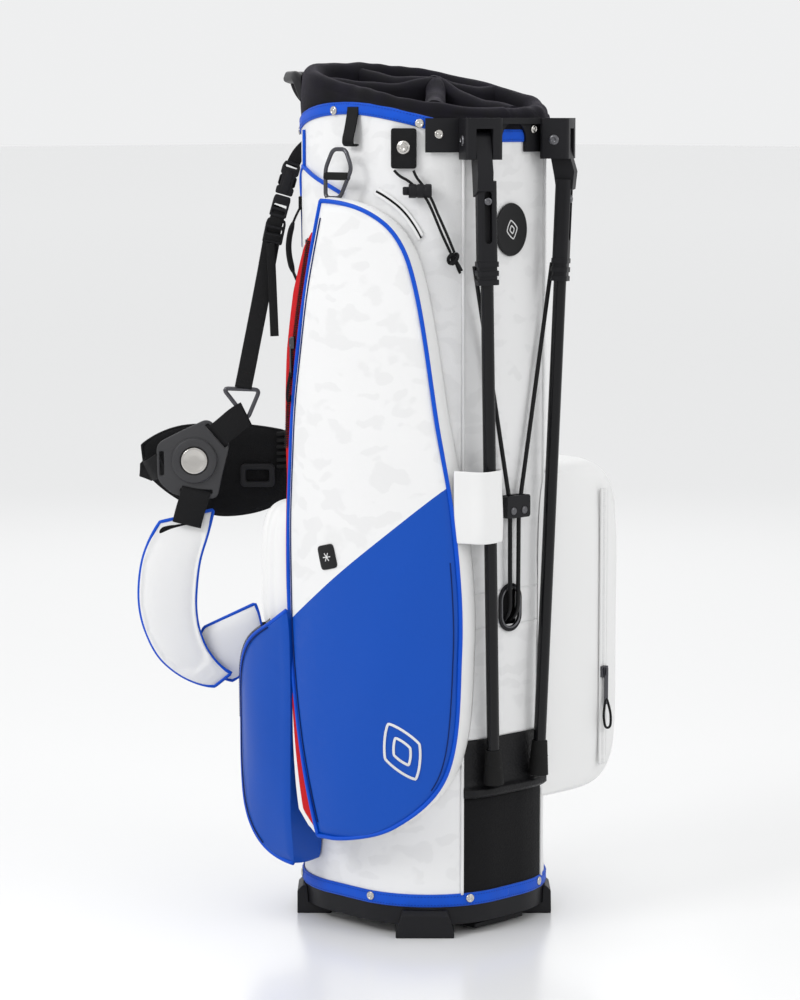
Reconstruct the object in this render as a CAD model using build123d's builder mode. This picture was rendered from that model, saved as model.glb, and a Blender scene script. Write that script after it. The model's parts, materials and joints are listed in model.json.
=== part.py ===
from build123d import *
from math import atan2, cos, degrees, pi, radians, sin, sqrt
import os

# Golf stand bag. Millimetres, +Z up, origin on the ground under the middle of the bag's tube.
# The stand legs are on the +X side, the spine with the shoulder straps on the -X side.

# Tube of the bag
body_x = 244.0
body_y = 232.0
corner_r = 98.0
skin_t = 2.5
flat_x = body_x / 2 - corner_r
flat_y = body_y / 2 - corner_r
front_x = body_x / 2
gap = 0.3

# Heights
floor_z = 12.0
base_top = 31.0
trim_h = 13.0
mesh_top = 143.0
pad_top = 203.0
top_mid = 850.0
top_back = 812.0
top_front = 818.0
cuff_back = 892.0
cuff_front = 845.0

# Stand legs
pivot_x = 134.0
pivot_y = 57.0
pivot_z = 812.0
pin_r = 3.0
splay = 30.0
tube_r = 6.5
foot_z = 158.0
low_z = 192.0
low_x = 133.5
low_y = 35.0
high_z = 680.0
high_x = 141.0
high_y = 54.5
wire_r = 2.25
clamp_z = 441.0
clamp_x = 129.0

# Pockets and straps
webbing_t = 2.0
harness_turn = 45.0

os.makedirs("parts", exist_ok=True)


def save(piece, name):
    """Label a finished piece and write its STEP file."""
    piece.part.label = name
    export_step(piece.part, f"parts/{name}.step")


def outline(height, grow):
    """The tube's rounded outline at a height, grown outwards."""
    with BuildSketch(Plane.XY.offset(height)) as profile:
        RectangleRounded(body_x + 2 * grow, body_y + 2 * grow, corner_r + grow)
    return profile.sketch


def wall(low, high, outer, inner):
    """An upright wall that follows the tube's outline, as a private part."""
    with BuildPart() as ring:
        extrude(outline(low, outer), amount=high - low)
        extrude(outline(low, inner), amount=high - low, mode=Mode.SUBTRACT)
    return ring.part


def below_top_arc(drop):
    """Everything lower than the arched top edge of the side panels, less a drop."""
    with BuildPart() as block:
        with BuildSketch(Plane.XZ.offset(-200)):
            with BuildLine():
                ThreePointArc((-200, top_back - 55 - drop), (0, top_mid - drop), (200, top_front - 55 - drop))
                Polyline((200, top_front - 55 - drop), (200, -50), (-200, -50), (-200, top_back - 55 - drop))
            make_face()
        extrude(amount=400)
    return block.part


def below_cuff_slope(drop):
    """Everything lower than the sloping plane of the bag's mouth, less a drop."""
    with BuildPart() as block:
        with BuildSketch(Plane.XZ.offset(-200)):
            slope = (cuff_front - cuff_back) / body_x
            with BuildLine():
                Polyline(
                    (-200, cuff_back - slope * 78 - drop),
                    (200, cuff_front + slope * 78 - drop),
                    (200, -50),
                    (-200, -50),
                    (-200, cuff_back - slope * 78 - drop),
                )
            make_face()
        extrude(amount=400)
    return block.part


def box_between(low, high):
    """A plain box between two corners, as a private part."""
    with BuildPart() as block:
        middle = [(a + b) / 2 for a, b in zip(low, high)]
        with Locations(tuple(middle)):
            Box(*[b - a for a, b in zip(low, high)])
    return block.part


def wall_plane(angle, height, grow, flat=None):
    """A plane on the tube's wall where its outward normal has this angle from +X."""
    side_x = flat_x * (1 if cos(radians(angle)) > 0 else -1)
    side_y = flat_y * (1 if sin(radians(angle)) > 0 else -1)
    start = (side_x, side_y) if flat is None else flat
    reach = corner_r + grow
    at = (start[0] + reach * cos(radians(angle)), start[1] + reach * sin(radians(angle)), height)
    normal = (cos(radians(angle)), sin(radians(angle)), 0)
    along = (-sin(radians(angle)), cos(radians(angle)), 0)
    return Plane(origin=at, x_dir=along, z_dir=normal)


def rod_path(points, share=0.45):
    """Straight runs joined by tangent arcs as large as the shorter run allows."""
    ends = [Vector(*point) for point in points]
    radii = []
    for before, corner, after in zip(ends, ends[1:], ends[2:]):
        run_in = corner - before
        run_out = after - corner
        turn = radians(run_in.get_angle(run_out))
        radii.append(share * min(run_in.length, run_out.length) / tan_half(turn))
    with BuildLine() as path:
        if radii:
            FilletPolyline(*points, radius=radii)
        else:
            Line(*points)
    return path.wires()[0], radii


def tan_half(turn):
    """Tangent of half an angle in radians."""
    return sin(turn) / (1 + cos(turn))


def round_rod(points, radius):
    """A round rod or cord along a route, as a private part."""
    path, radii = rod_path(points)
    with BuildPart() as rod:
        with BuildSketch(Plane(origin=path @ 0, z_dir=path % 0)):
            Circle(radius)
        sweep(path=path)
    return rod.part, path, radii


# ---------------------------------------------------------------- base

# Moulded base cup: outer band, inner lip inside the skin, floor with a window for the kick plate
hinge_x = 60.0
hinge_z = 8.0
plate_half = 36.0
window_end = 113.0
with BuildPart() as base_shell:
    extrude(outline(floor_z, -0.8), amount=base_top - floor_z - gap)
    extrude(outline(base_top - 1, -skin_t - gap), amount=25)
    extrude(outline(floor_z + 3, -skin_t - gap - 3), amount=60, mode=Mode.SUBTRACT)
    add(box_between((hinge_x + 6, -plate_half - 2, 0), (window_end, plate_half + 2, 20)), mode=Mode.SUBTRACT)
    for side in (-1, 1):
        with BuildSketch(Plane.XZ.offset(-side * (plate_half + 4))):
            with Locations((hinge_x, hinge_z)):
                Circle(4.5)
            with Locations((hinge_x, hinge_z + 4)):
                Rectangle(9, 8)
            with Locations((hinge_x, hinge_z)):
                Circle(2.05, mode=Mode.SUBTRACT)
        extrude(amount=2.5, both=True)
save(base_shell, "base_shell")

# Four flared corner feet, moulded against the base's corners
with BuildPart() as base_feet:
    for turn in (45, 135, 225, 315):
        radial = (cos(radians(turn)), sin(radians(turn)), 0)
        foot_plane = Plane(origin=(0, 0, 0), x_dir=(-radial[1], radial[0], 0), z_dir=radial)
        with BuildPart(mode=Mode.PRIVATE) as foot:
            with BuildSketch(foot_plane.offset(98)):
                with BuildLine():
                    Polyline((-30, 0), (30, 0), (30, 5), (23, 28), (-23, 28), (-30, 5), (-30, 0))
                make_face()
            extrude(amount=36)
            chamfer(foot.part.faces().sort_by(SortBy.DISTANCE)[-1].edges().sort_by(Axis.Z)[-1], 5)
            extrude(outline(floor_z - 0.2, -0.5), amount=40, mode=Mode.SUBTRACT)
        add(foot.part)
save(base_feet, "base_feet")

# Kick plate that the ground tips as the bag leans, on its cross pin
with BuildPart() as kick_plate:
    add(box_between((hinge_x - 22, -plate_half, 3), (window_end - 3, plate_half, 7.5)))
    with BuildSketch(Plane.XZ.offset(-plate_half)):
        with Locations((hinge_x, hinge_z)):
            Circle(3.6)
    extrude(amount=2 * plate_half)
    with BuildSketch(Plane.XZ.offset(-plate_half)):
        with Locations((hinge_x, hinge_z)):
            Circle(2.05)
    extrude(amount=2 * plate_half, mode=Mode.SUBTRACT)
    fillet(kick_plate.part.edges().filter_by(Axis.Z), 1.5)
save(kick_plate, "kick_plate")

with BuildPart() as kick_pin:
    with BuildSketch(Plane.XZ.offset(-plate_half - 8)):
        with Locations((hinge_x, hinge_z)):
            Circle(2)
    extrude(amount=2 * plate_half + 16)
save(kick_pin, "kick_pin")

# ---------------------------------------------------------------- sewn skin of the tube

belly_half = 60.0
spine_half = 46.0
skin = wall(base_top, 900, 0, -skin_t)


def skin_panel(low_corner, high_corner):
    """The part of the skin inside a box, trimmed to the arched top edge."""
    with BuildPart() as panel:
        add(skin)
        add(box_between(low_corner, high_corner), mode=Mode.INTERSECT)
        add(below_top_arc(0), mode=Mode.INTERSECT)
    return panel


for side, name in ((-1, "side_panel_near"), (1, "side_panel_far")):
    with BuildPart() as side_panel:
        middle = side * 100
        add(skin_panel((-200, middle - 99, 0), (200, middle + 99, 900)).part)
        add(box_between((0, -belly_half - gap, 0), (200, belly_half + gap, 900)), mode=Mode.SUBTRACT)
        add(box_between((-200, -spine_half - gap, 0), (0, spine_half + gap, 900)), mode=Mode.SUBTRACT)
    save(side_panel, name)

# Round window in the belly panel for the stand's wires
eyelet_z = 338.0
eyelet_hole_h = 38.0
eyelet_hole_w = 24.0
with BuildPart() as belly_panel:
    add(skin_panel((0, -belly_half, pad_top + gap), (200, belly_half, 900)).part)
    with BuildSketch(Plane.YZ.offset(100)):
        with Locations((0, eyelet_z)):
            SlotCenterToCenter(eyelet_hole_h - eyelet_hole_w + 4, eyelet_hole_w + 4, rotation=90)
    extrude(amount=60, mode=Mode.SUBTRACT)
save(belly_panel, "belly_panel")

spine_panel = skin_panel((-200, -spine_half, base_top), (0, spine_half, 900))
save(spine_panel, "spine_panel")

mesh_panel = skin_panel((0, -belly_half, base_top), (200, belly_half, mesh_top))
save(mesh_panel, "mesh_panel")

# Grained pad behind the leg feet, with the ledge under them
ledge_depth = 11.0
with BuildPart() as leg_rest_pad:
    extrude(outline(mesh_top + gap, ledge_depth), amount=10)
    add(box_between((front_x - 8, -54, 100), (200, 54, 200)), mode=Mode.INTERSECT)
    add(skin_panel((0, -belly_half, mesh_top + gap), (200, belly_half, pad_top)).part)
    extrude(outline(mesh_top - 5, -skin_t), amount=90, mode=Mode.SUBTRACT)
save(leg_rest_pad, "leg_rest_pad")

# Bound edges at the foot and the mouth of the skin
with BuildPart() as bound_edges:
    add(wall(760, 870, gap + 1.5, gap))
    add(below_top_arc(0), mode=Mode.INTERSECT)
    add(below_top_arc(12), mode=Mode.SUBTRACT)
    add(box_between((90, -100, 700), (200, 100, 900)), mode=Mode.SUBTRACT)
    add(wall(base_top, base_top + trim_h, gap + 1.5, gap))
save(bound_edges, "bound_edges")

rivet_angles = (-128, -82, -20, 20, 82, 128, 168, -168)


def arc_height(x):
    """Height of the arched top edge at a given x, as the same circle through its three points."""
    rise = top_mid - (top_back + top_front) / 2 + 55
    radius = (200 ** 2 + rise ** 2) / (2 * rise)
    tilt = (top_front - top_back) / 400 * x
    return top_mid - radius + sqrt(radius ** 2 - x ** 2) + tilt


# Nickel rivets through both bound edges, and the same ones through the bracket's band
with BuildPart() as rivets:
    for angle in rivet_angles:
        with BuildSketch(wall_plane(angle, base_top + 8, 2)):
            Circle(4.5)
        extrude(amount=1.6, taper=25)
    for side in (-1, 1):
        for angle, flat in ((90, (-13, side * flat_y)), (51, None), (140, None)):
            place = wall_plane(side * angle, 0, 2, flat)
            place.origin += (0, 0, arc_height(place.origin.X) - 8)
            with BuildSketch(place):
                Circle(4.3)
            extrude(amount=1.6, taper=25)
        with BuildSketch(wall_plane(side * 40, 818, 4.6)):
            Circle(5)
        extrude(amount=2, taper=20)
        with BuildSketch(wall_plane(0, 823, 4.6, (flat_x, side * 29))):
            Circle(4)
        extrude(amount=1.6, taper=20)
save(rivets, "rivets")

# ---------------------------------------------------------------- frame inside the tube

# Inner floor that the club heads stand on, above the kick plate's room
mat_z = 40.0
stay_x = -108.0
stay_y = 38.0
divider_z = mat_z + 5
rod_x = 110.0
rod_y = 5.0
with BuildPart() as base_mat:
    extrude(outline(mat_z, -skin_t - gap - 3.3), amount=4)
    add(box_between((rod_x - 9, -14, 30), (130, 14, 50)), mode=Mode.SUBTRACT)
    with BuildSketch(Plane.XY.offset(mat_z)):
        with Locations((stay_x, -stay_y), (stay_x, stay_y)):
            Circle(4)
    extrude(amount=4, mode=Mode.SUBTRACT)
save(base_mat, "base_mat")

# Two glass-fibre stays join the base cup to the moulded top ring along the spine
with BuildPart() as stay_rods:
    for side in (-1, 1):
        with BuildSketch(Plane.XY.offset(floor_z + 3.2)):
            with Locations((stay_x, side * stay_y)):
                Circle(3.5)
        extrude(amount=790 - floor_z - 3.2)
save(stay_rods, "stay_rods")

# Moulded ring that carries the handle and the leg bracket, with five bars from a hub
hub_at = (-5.0, 22.0)
bar_ends = ((86, -74), (118, 18), (0, 114), (-118, 8), (-42, -112))
ring_in = skin_t + gap + 4


def bar_length(end):
    """Length of a bar from the hub to its end on the ring."""
    return sqrt((end[0] - hub_at[0]) ** 2 + (end[1] - hub_at[1]) ** 2)


def bar_turn(end):
    """Angle of a bar from +X."""
    return degrees(atan2(end[1] - hub_at[1], end[0] - hub_at[0]))


with BuildPart() as top_ring:
    extrude(outline(792, -skin_t - gap), amount=120)
    extrude(outline(790, -ring_in), amount=130, mode=Mode.SUBTRACT)
    for end in bar_ends:
        with BuildSketch(Plane.XY.offset(806)):
            with Locations(((end[0] + hub_at[0]) / 2, (end[1] + hub_at[1]) / 2)):
                Rectangle(bar_length(end), 5, rotation=bar_turn(end))
        extrude(amount=80)
    add(wall(700, 950, 60, -skin_t - gap), mode=Mode.SUBTRACT)
    add(below_cuff_slope(22), mode=Mode.INTERSECT)
save(top_ring, "top_ring")

# Fabric dividers that hang from the bars to the base
divider_reach = 0.86
with BuildPart() as divider_panels:
    with BuildSketch(Plane.XY.offset(divider_z)):
        for end in bar_ends:
            half = divider_reach / 2
            middle_x = hub_at[0] + (end[0] - hub_at[0]) * half
            middle_y = hub_at[1] + (end[1] - hub_at[1]) * half
            with Locations((middle_x, middle_y)):
                Rectangle(bar_length(end) * divider_reach, 1.6, rotation=bar_turn(end))
    extrude(amount=805.5 - divider_z)
save(divider_panels, "divider_panels")

# Padded velour: cuff round the mouth, its skirt down to the bound edge, and sleeves over the bars
cuff_t = 21.0
with BuildPart() as top_cuff:
    add(wall(700, 950, gap - 1, -cuff_t))
    add(below_cuff_slope(0), mode=Mode.INTERSECT)
    add(below_cuff_slope(21.7), mode=Mode.SUBTRACT)
    fillet(top_cuff.part.faces().filter_by(GeomType.PLANE).sort_by(Axis.Z)[-1].edges(), 8)
    for end in bar_ends:
        with BuildPart(mode=Mode.PRIVATE) as sleeve:
            with BuildSketch(Plane.XY.offset(806)):
                with Locations(((end[0] + hub_at[0]) / 2, (end[1] + hub_at[1]) / 2)):
                    Rectangle(bar_length(end) + 8, 20, rotation=bar_turn(end))
            extrude(amount=90)
            extrude(outline(700, -cuff_t - gap), amount=300, mode=Mode.INTERSECT)
            add(below_cuff_slope(4), mode=Mode.INTERSECT)
        add(sleeve.part)
    with BuildPart(mode=Mode.PRIVATE) as ring_room:
        for end in bar_ends:
            with BuildSketch(Plane.XY.offset(700)):
                with Locations(((end[0] + hub_at[0]) / 2, (end[1] + hub_at[1]) / 2)):
                    Rectangle(bar_length(end) + 40, 5.6, rotation=bar_turn(end))
            extrude(amount=220)
        add(wall(700, 920, 10, -ring_in - gap))
        add(below_cuff_slope(21.7), mode=Mode.INTERSECT)
    add(ring_room.part, mode=Mode.SUBTRACT)
    with BuildPart(mode=Mode.PRIVATE) as skirt:
        add(wall(700, 950, -0.7, -skin_t))
        add(below_cuff_slope(21.6), mode=Mode.INTERSECT)
    add(skirt.part)
    add(below_top_arc(-gap), mode=Mode.SUBTRACT)
    add(wall(700, 950, 40, -0.7), mode=Mode.SUBTRACT)
save(top_cuff, "top_cuff")


# ---------------------------------------------------------------- carrying and stand hardware

# Moulded lift handle behind the mouth, its ends screwed to the ring
handle_z = 876.0
with BuildPart() as lift_handle:
    with BuildLine() as handle_line:
        FilletPolyline(
            (-86, -88, handle_z - 22),
            (-104, -82, handle_z),
            (-150, -54, handle_z),
            (-150, 54, handle_z),
            (-104, 82, handle_z),
            (-86, 88, handle_z - 22),
            radius=(20, 22, 22, 20),
        )
    with BuildSketch(Plane(origin=handle_line.line @ 0, z_dir=handle_line.line % 0)):
        RectangleRounded(12, 11, 4)
    sweep(path=handle_line.line)
    extrude(outline(700, gap), amount=300, mode=Mode.SUBTRACT)
save(lift_handle, "lift_handle")


def swing_way(side):
    """The way a leg swings out: away from the belly and outwards by the splay."""
    return (cos(radians(splay)), side * sin(radians(splay)), 0)


def pin_way(side):
    """The way of a leg's pivot pin."""
    return (side * sin(radians(splay)), -cos(radians(splay)), 0)


def leg_point(side, height):
    """A point on a folded leg's centre line."""
    share = (height - low_z) / (high_z - low_z)
    return (low_x + (high_x - low_x) * share, side * (low_y + (high_y - low_y) * share), height)


def leg_plane(side, height, offset=0.0):
    """A plane square to a folded leg, its x pointing the way that the leg swings."""
    upwards = Vector(*leg_point(side, high_z)) - Vector(*leg_point(side, low_z))
    return Plane(origin=leg_point(side, height), x_dir=swing_way(side), z_dir=upwards).offset(offset)


def head_plane(side, offset=0.0):
    """The upright plane through a leg's pivot, square to its pin."""
    at_pivot = Plane(origin=(pivot_x, side * pivot_y, pivot_z), x_dir=swing_way(side), z_dir=pin_way(side))
    return at_pivot.offset(offset)


def lug_plane(side, height):
    """The level plane over a leg's pivot, its x pointing the way that the leg swings."""
    return Plane(origin=(pivot_x, side * pivot_y, height), x_dir=swing_way(side), z_dir=(0, 0, 1))


# Moulded bracket across the belly: band with wings, crown plate and two forked lugs
head_w = 16.0
with BuildPart() as leg_bracket:
    add(wall(800, 834, 4.5, gap))
    add(box_between((93, -100, 800), (200, 100, 834)), mode=Mode.INTERSECT)
    with BuildSketch(Plane.YZ.offset(100)):
        with Locations((0, 794)):
            SlotCenterToCenter(36, 36, rotation=90)
        with Locations((0, 780)):
            Rectangle(64, 40)
    extrude(amount=60, mode=Mode.SUBTRACT)
    add(box_between((108, -56, 828), (131, 56, 834)))
    for side in (-1, 1):
        with BuildSketch(lug_plane(side, 793)):
            RectangleRounded(30, 38, 4)
        extrude(amount=41)
    extrude(outline(700, gap), amount=300, mode=Mode.SUBTRACT)
    for side in (-1, 1):
        with BuildSketch(lug_plane(side, 780)):
            with Locations((14, 0)):
                Rectangle(52, head_w + 1.4)
        extrude(amount=43.5, mode=Mode.SUBTRACT)
        with BuildSketch(head_plane(side, -30)):
            Circle(pin_r + 0.05)
        extrude(amount=60, mode=Mode.SUBTRACT)
save(leg_bracket, "leg_bracket")

with BuildPart() as leg_pivot_pins:
    for side in (-1, 1):
        with BuildSketch(head_plane(side, -19.5)):
            Circle(pin_r)
        extrude(amount=39)
save(leg_pivot_pins, "leg_pivot_pins")

# Each leg: moulded top with its elbow, slot and wire collar, then tube and rubber foot
for side, name in ((-1, "near"), (1, "far")):
    with BuildPart() as leg_top:
        with BuildSketch(head_plane(side, -head_w / 2)):
            Circle(9.5)
            with BuildLine():
                Polyline((-9, 0), (9, 2), (19, -32), (17, -50), (1, -56), (-2, -36), (-9, 0))
            make_face()
        extrude(amount=head_w)
        with BuildSketch(leg_plane(side, 690)):
            RectangleRounded(16, 20, 5)
        extrude(amount=82)
        with BuildSketch(leg_plane(side, 669)):
            RectangleRounded(15, 19, 4)
        extrude(amount=24)
        for ring_z in (669, 678, 687):
            with BuildSketch(leg_plane(side, ring_z)):
                RectangleRounded(17, 22, 4)
            extrude(amount=5)
        with BuildSketch(leg_plane(side, 660)):
            Circle(tube_r + 0.15)
        extrude(amount=46, mode=Mode.SUBTRACT)
        outward = Plane(origin=leg_point(side, 736), x_dir=leg_plane(side, 736).z_dir, z_dir=swing_way(side))
        with BuildSketch(outward.offset(1)):
            SlotOverall(52, 7.5)
        extrude(amount=30, mode=Mode.SUBTRACT)
        with BuildSketch(head_plane(side, -20)):
            Circle(pin_r + 0.05)
        extrude(amount=40, mode=Mode.SUBTRACT)
    save(leg_top, f"leg_top_{name}")

    with BuildPart() as leg_tube:
        with BuildSketch(leg_plane(side, foot_z + 8)):
            Circle(tube_r)
            Circle(tube_r - 1.2, mode=Mode.SUBTRACT)
        extrude(amount=705 - foot_z - 8)
    save(leg_tube, f"leg_tube_{name}")

    with BuildPart() as leg_foot:
        with BuildSketch(leg_plane(side, foot_z)):
            Circle(10.5)
        with BuildSketch(leg_plane(side, low_z + 2)):
            Circle(8)
        loft()
        with BuildSketch(leg_plane(side, foot_z + 7.7)):
            Circle(tube_r + 0.1)
        extrude(amount=60, mode=Mode.SUBTRACT)
        extrude(outline(100, 1), amount=200, mode=Mode.SUBTRACT)
    save(leg_foot, f"leg_foot_{name}")

    # Upper wire, from its socket in the clamp to the collar
    wire, _, _ = round_rod(((clamp_x + 0.5, side * 8, clamp_z + 6), (126.5, side * 57.5, 687)), wire_r)
    with BuildPart() as leg_wire:
        add(wire)
    save(leg_wire, f"leg_wire_{name}")

# Clamp that joins the two wires to the push rods
with BuildPart() as wire_clamp:
    with BuildSketch(Plane.YZ.offset(123.5)):
        with Locations((0, clamp_z)):
            RectangleRounded(34, 23, 3)
    extrude(amount=12)
    with BuildSketch(Plane.XY.offset(clamp_z + 5)):
        with Locations((clamp_x + 0.5, -8), (clamp_x + 0.5, 8)):
            Circle(5)
    extrude(amount=20, mode=Mode.SUBTRACT)
save(wire_clamp, "wire_clamp")

# Push rods from the clamp, in through the eyelet and down to the kick plate
with BuildPart() as push_rods:
    for side in (-1, 1):
        rod, _, _ = round_rod(
            (
                (clamp_x, side * 6.5, clamp_z - 11.8),
                (clamp_x, side * 6, 330),
                (rod_x, side * rod_y, 316),
                (rod_x, side * rod_y, 17),
            ),
            wire_r,
        )
        add(rod)
    add(box_between((rod_x - 6, -10, 11), (rod_x + 2.4, 10, 17.5)))
save(push_rods, "push_rods")

with BuildPart() as rod_sleeve:
    with BuildSketch(Plane.XY.offset(62)):
        with Locations((rod_x, 0)):
            SlotCenterToCenter(2 * rod_y, 9, rotation=90)
            SlotCenterToCenter(2 * rod_y, 6, rotation=90, mode=Mode.SUBTRACT)
    extrude(amount=236)
save(rod_sleeve, "rod_sleeve")

# Moulded eyelet round the window in the belly panel
with BuildPart() as rod_eyelet:
    with BuildSketch(Plane.YZ.offset(front_x + gap)):
        with Locations((0, eyelet_z - 2)):
            SlotCenterToCenter(50 - 33, 33, rotation=90)
            SlotCenterToCenter(38.5 - 24, 24, rotation=90, mode=Mode.SUBTRACT)
    extrude(amount=2.6)
save(rod_eyelet, "rod_eyelet")

with BuildPart() as belly_badge:
    with BuildSketch(Plane.YZ.offset(front_x + gap)):
        with Locations((0, 722)):
            Ellipse(23, 27)
    extrude(amount=1.4)
save(belly_badge, "belly_badge")

# ---------------------------------------------------------------- pockets

pocket_turn = -67.0
pocket_reach = 162.0
pocket_plane = Plane(
    origin=(0, 0, 0),
    x_dir=(-sin(radians(pocket_turn)), cos(radians(pocket_turn)), 0),
    z_dir=(cos(radians(pocket_turn)), sin(radians(pocket_turn)), 0),
)
pocket_side = -100.0

# Full-length pocket that bows round the near corner of the tube
with BuildPart() as tall_pocket:
    with BuildSketch(pocket_plane.offset(60)):
        with BuildLine():
            Spline((-58, 104), (pocket_side, 343), (-86, 590), (-52, 752))
            Spline((-52, 752), (38, 706), (72, 520), (91, 300), (76, 168))
            ThreePointArc((76, 168), (30, 120), (-58, 104))
        make_face()
    extrude(amount=130)
    Cylinder(pocket_reach, 2000, mode=Mode.INTERSECT)
    extrude(outline(0, gap + 0.2), amount=900, mode=Mode.SUBTRACT)
save(tall_pocket, "tall_pocket")


def past_pocket_side():
    """Everything on the leg side of the tall pocket's zipped wall, with room to spare."""
    with BuildPart() as block:
        with BuildSketch(pocket_plane.offset(-300)):
            with Locations((pocket_side - 3 + 200, 400)):
                Rectangle(400, 1200)
        extrude(amount=600)
    return block.part


ball_front = 168.0
with BuildPart() as ball_pocket:
    with BuildSketch(Plane.XZ.offset(58)):
        with BuildLine():
            Spline((-20, 70), (-99, 95), (-130, 165), (-128, 235), (-104, 286), (-20, 330))
            Line((-20, 330), (-20, 70))
        make_face()
    extrude(amount=ball_front - 58)
    extrude(outline(0, gap + 0.2), amount=900, mode=Mode.SUBTRACT)
    add(past_pocket_side(), mode=Mode.SUBTRACT)
save(ball_pocket, "ball_pocket")

with BuildPart() as small_pocket:
    add(box_between((-101, -150, 320), (-46, -64, 437)))
    fillet(small_pocket.part.edges().filter_by(Axis.Z).sort_by(Axis.Y)[:2].sort_by(Axis.X)[0], 28)
    fillet(small_pocket.part.faces().sort_by(Axis.Z)[-1].edges(), 14)
    with BuildSketch(Plane.XZ.offset(50)):
        with BuildLine():
            Spline((-20, 70), (-99, 95), (-131, 165), (-129, 235), (-104, 288), (-20, 332))
            Line((-20, 332), (-20, 70))
        make_face()
    extrude(amount=130, mode=Mode.SUBTRACT)
    extrude(outline(0, gap + 0.2), amount=900, mode=Mode.SUBTRACT)
    add(past_pocket_side(), mode=Mode.SUBTRACT)
save(small_pocket, "small_pocket")

with BuildPart() as far_pocket:
    add(box_between((-76, 60, 120), (118, 205, 476)))
    fillet(far_pocket.part.edges().filter_by(Axis.X).sort_by(Axis.Y)[-2:], 50)
    fillet(far_pocket.part.edges().filter_by(Axis.Z).sort_by(Axis.Y)[-2:], 20)
    extrude(outline(0, gap + 0.2), amount=900, mode=Mode.SUBTRACT)
save(far_pocket, "far_pocket")

# Closing tab that holds the near leg against the bag
with BuildPart() as leg_tab:
    with BuildSketch(Plane.XY.offset(410)):
        with BuildLine():
            Polyline(
                (131, -94), (149, -66), (149, -41), (142, -33), (124, -33), (124, -34.4),
                (141.3, -34.4), (147.5, -41.6), (146.6, -65.4), (129.8, -93), (131, -94),
            )
        make_face()
    extrude(amount=74)
save(leg_tab, "leg_tab")

# ---------------------------------------------------------------- loops and clips near the mouth

# Towel loop of webbing and its hexagonal snap link, on the near side
loop_x = 15.0
wall_y = -body_y / 2
with BuildPart() as towel_loop:
    with BuildSketch(Plane.YZ.offset(loop_x - 8)):
        with BuildLine():
            Polyline(
                (wall_y - 0.8, 846), (wall_y - 3.4, 846), (wall_y - 10, 812), (wall_y - 10, 806),
                (wall_y - 0.8, 806), (wall_y - 0.8, 808), (wall_y - 8, 808), (wall_y - 8, 812),
                (wall_y - 2.6, 836), (wall_y - 0.8, 838), (wall_y - 0.8, 846),
            )
        make_face()
    extrude(amount=16)
    add(box_between((loop_x - 20, wall_y - 1.9, 700), (loop_x + 20, wall_y + 5, 900)), mode=Mode.SUBTRACT)
save(towel_loop, "towel_loop")

link_y = wall_y - 16
with BuildPart() as snap_link:
    with BuildSketch(Plane.XZ.offset(-link_y)):
        with BuildLine():
            Polyline((2, 805), (22, 805), (32, 784), (14, 752), (-10, 752), (-10, 784), (2, 805))
        make_face()
        with BuildLine():
            Polyline((4, 801), (20, 801), (27.5, 784), (11.8, 756), (-6, 756), (-6, 783), (4, 801))
        make_face(mode=Mode.SUBTRACT)
        with Locations((8, 776)):
            Rectangle(34, 4)
    extrude(amount=4.5)
save(snap_link, "snap_link")

# Webbing tab with a press stud, its elastic cord, cord lock and knot
tab_turn = -60.0
with BuildPart() as stud_tab:
    with BuildSketch(wall_plane(tab_turn, 804, 2.2)):
        RectangleRounded(26, 40, 2)
    extrude(amount=2)
save(stud_tab, "stud_tab")

with BuildPart() as press_stud:
    with BuildSketch(wall_plane(tab_turn, 805, 4.4)):
        Circle(7)
    extrude(amount=1.4)
    with BuildSketch(wall_plane(tab_turn, 805, 5.8)):
        Circle(4.5)
        Circle(2.2, mode=Mode.SUBTRACT)
    extrude(amount=1.6)
save(press_stud, "press_stud")

cord_r = 1.4
cord_routes = {
    "near": ((67, -111, 782), (73, -110.5, 776.5), (82.5, -107, 772.5), (91, -103, 764), (98.5, -97.5, 755),
             (103, -93, 741.5), (106.5, -88.5, 727.5), (109, -83, 714), (112, -77, 701)),
    "far": ((84.5, -101.5, 782), (87, -100.9, 776), (93, -99, 769.5), (98.5, -97, 762.5), (103, -93.5, 752.5),
            (106, -89.5, 740), (110, -85, 727), (113.5, -80.5, 714), (116, -75.5, 701)),
}
for name, route in cord_routes.items():
    tube, line, radii = round_rod(route, cord_r)
    with BuildPart() as lock_cord:
        add(tube)
    print(name, "cord length", round(line.length, 1), "radii", [round(r, 1) for r in radii])
    print("volume share", round(lock_cord.part.volume / (pi * cord_r ** 2 * line.length), 3))
    save(lock_cord, f"lock_cord_{name}")

# Barrel cord lock with its spring button, and the knot with two cut ends
across = (sin(radians(45)), sin(radians(45)), 0)
lock_at = (93.2, -98.8, 762)
lock_start = Plane(origin=lock_at, z_dir=across)
with BuildPart() as cord_lock:
    with BuildSketch(lock_start.offset(-13)):
        Circle(7)
    extrude(amount=23)
    with BuildSketch(lock_start.offset(-13)):
        Circle(4.6)
    extrude(amount=4.6, mode=Mode.SUBTRACT)
    for route in cord_routes.values():
        add(round_rod(route, cord_r + 0.3)[0], mode=Mode.SUBTRACT)
save(cord_lock, "cord_lock")

with BuildPart() as lock_button:
    with BuildSketch(lock_start.offset(-19)):
        Circle(4.2)
    extrude(amount=7.2)
save(lock_button, "lock_button")

knot_at = (115, -75.3, 693.4)
with BuildPart() as cord_knot:
    with BuildSketch(Plane(origin=knot_at, x_dir=(1, 0, 0), z_dir=(0, -1, 0))):
        Circle(6.8)
        with Locations((-5, 0)):
            Rectangle(10, 20, mode=Mode.SUBTRACT)
    revolve(axis=Axis(knot_at, (0, 0, 1)))
    for root, tip in (((116, -73.5, 690.5), (119, -70, 680)), ((118, -75, 691), (124, -73, 683))):
        add(round_rod((root, tip), cord_r)[0])
save(cord_knot, "cord_knot")

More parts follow.
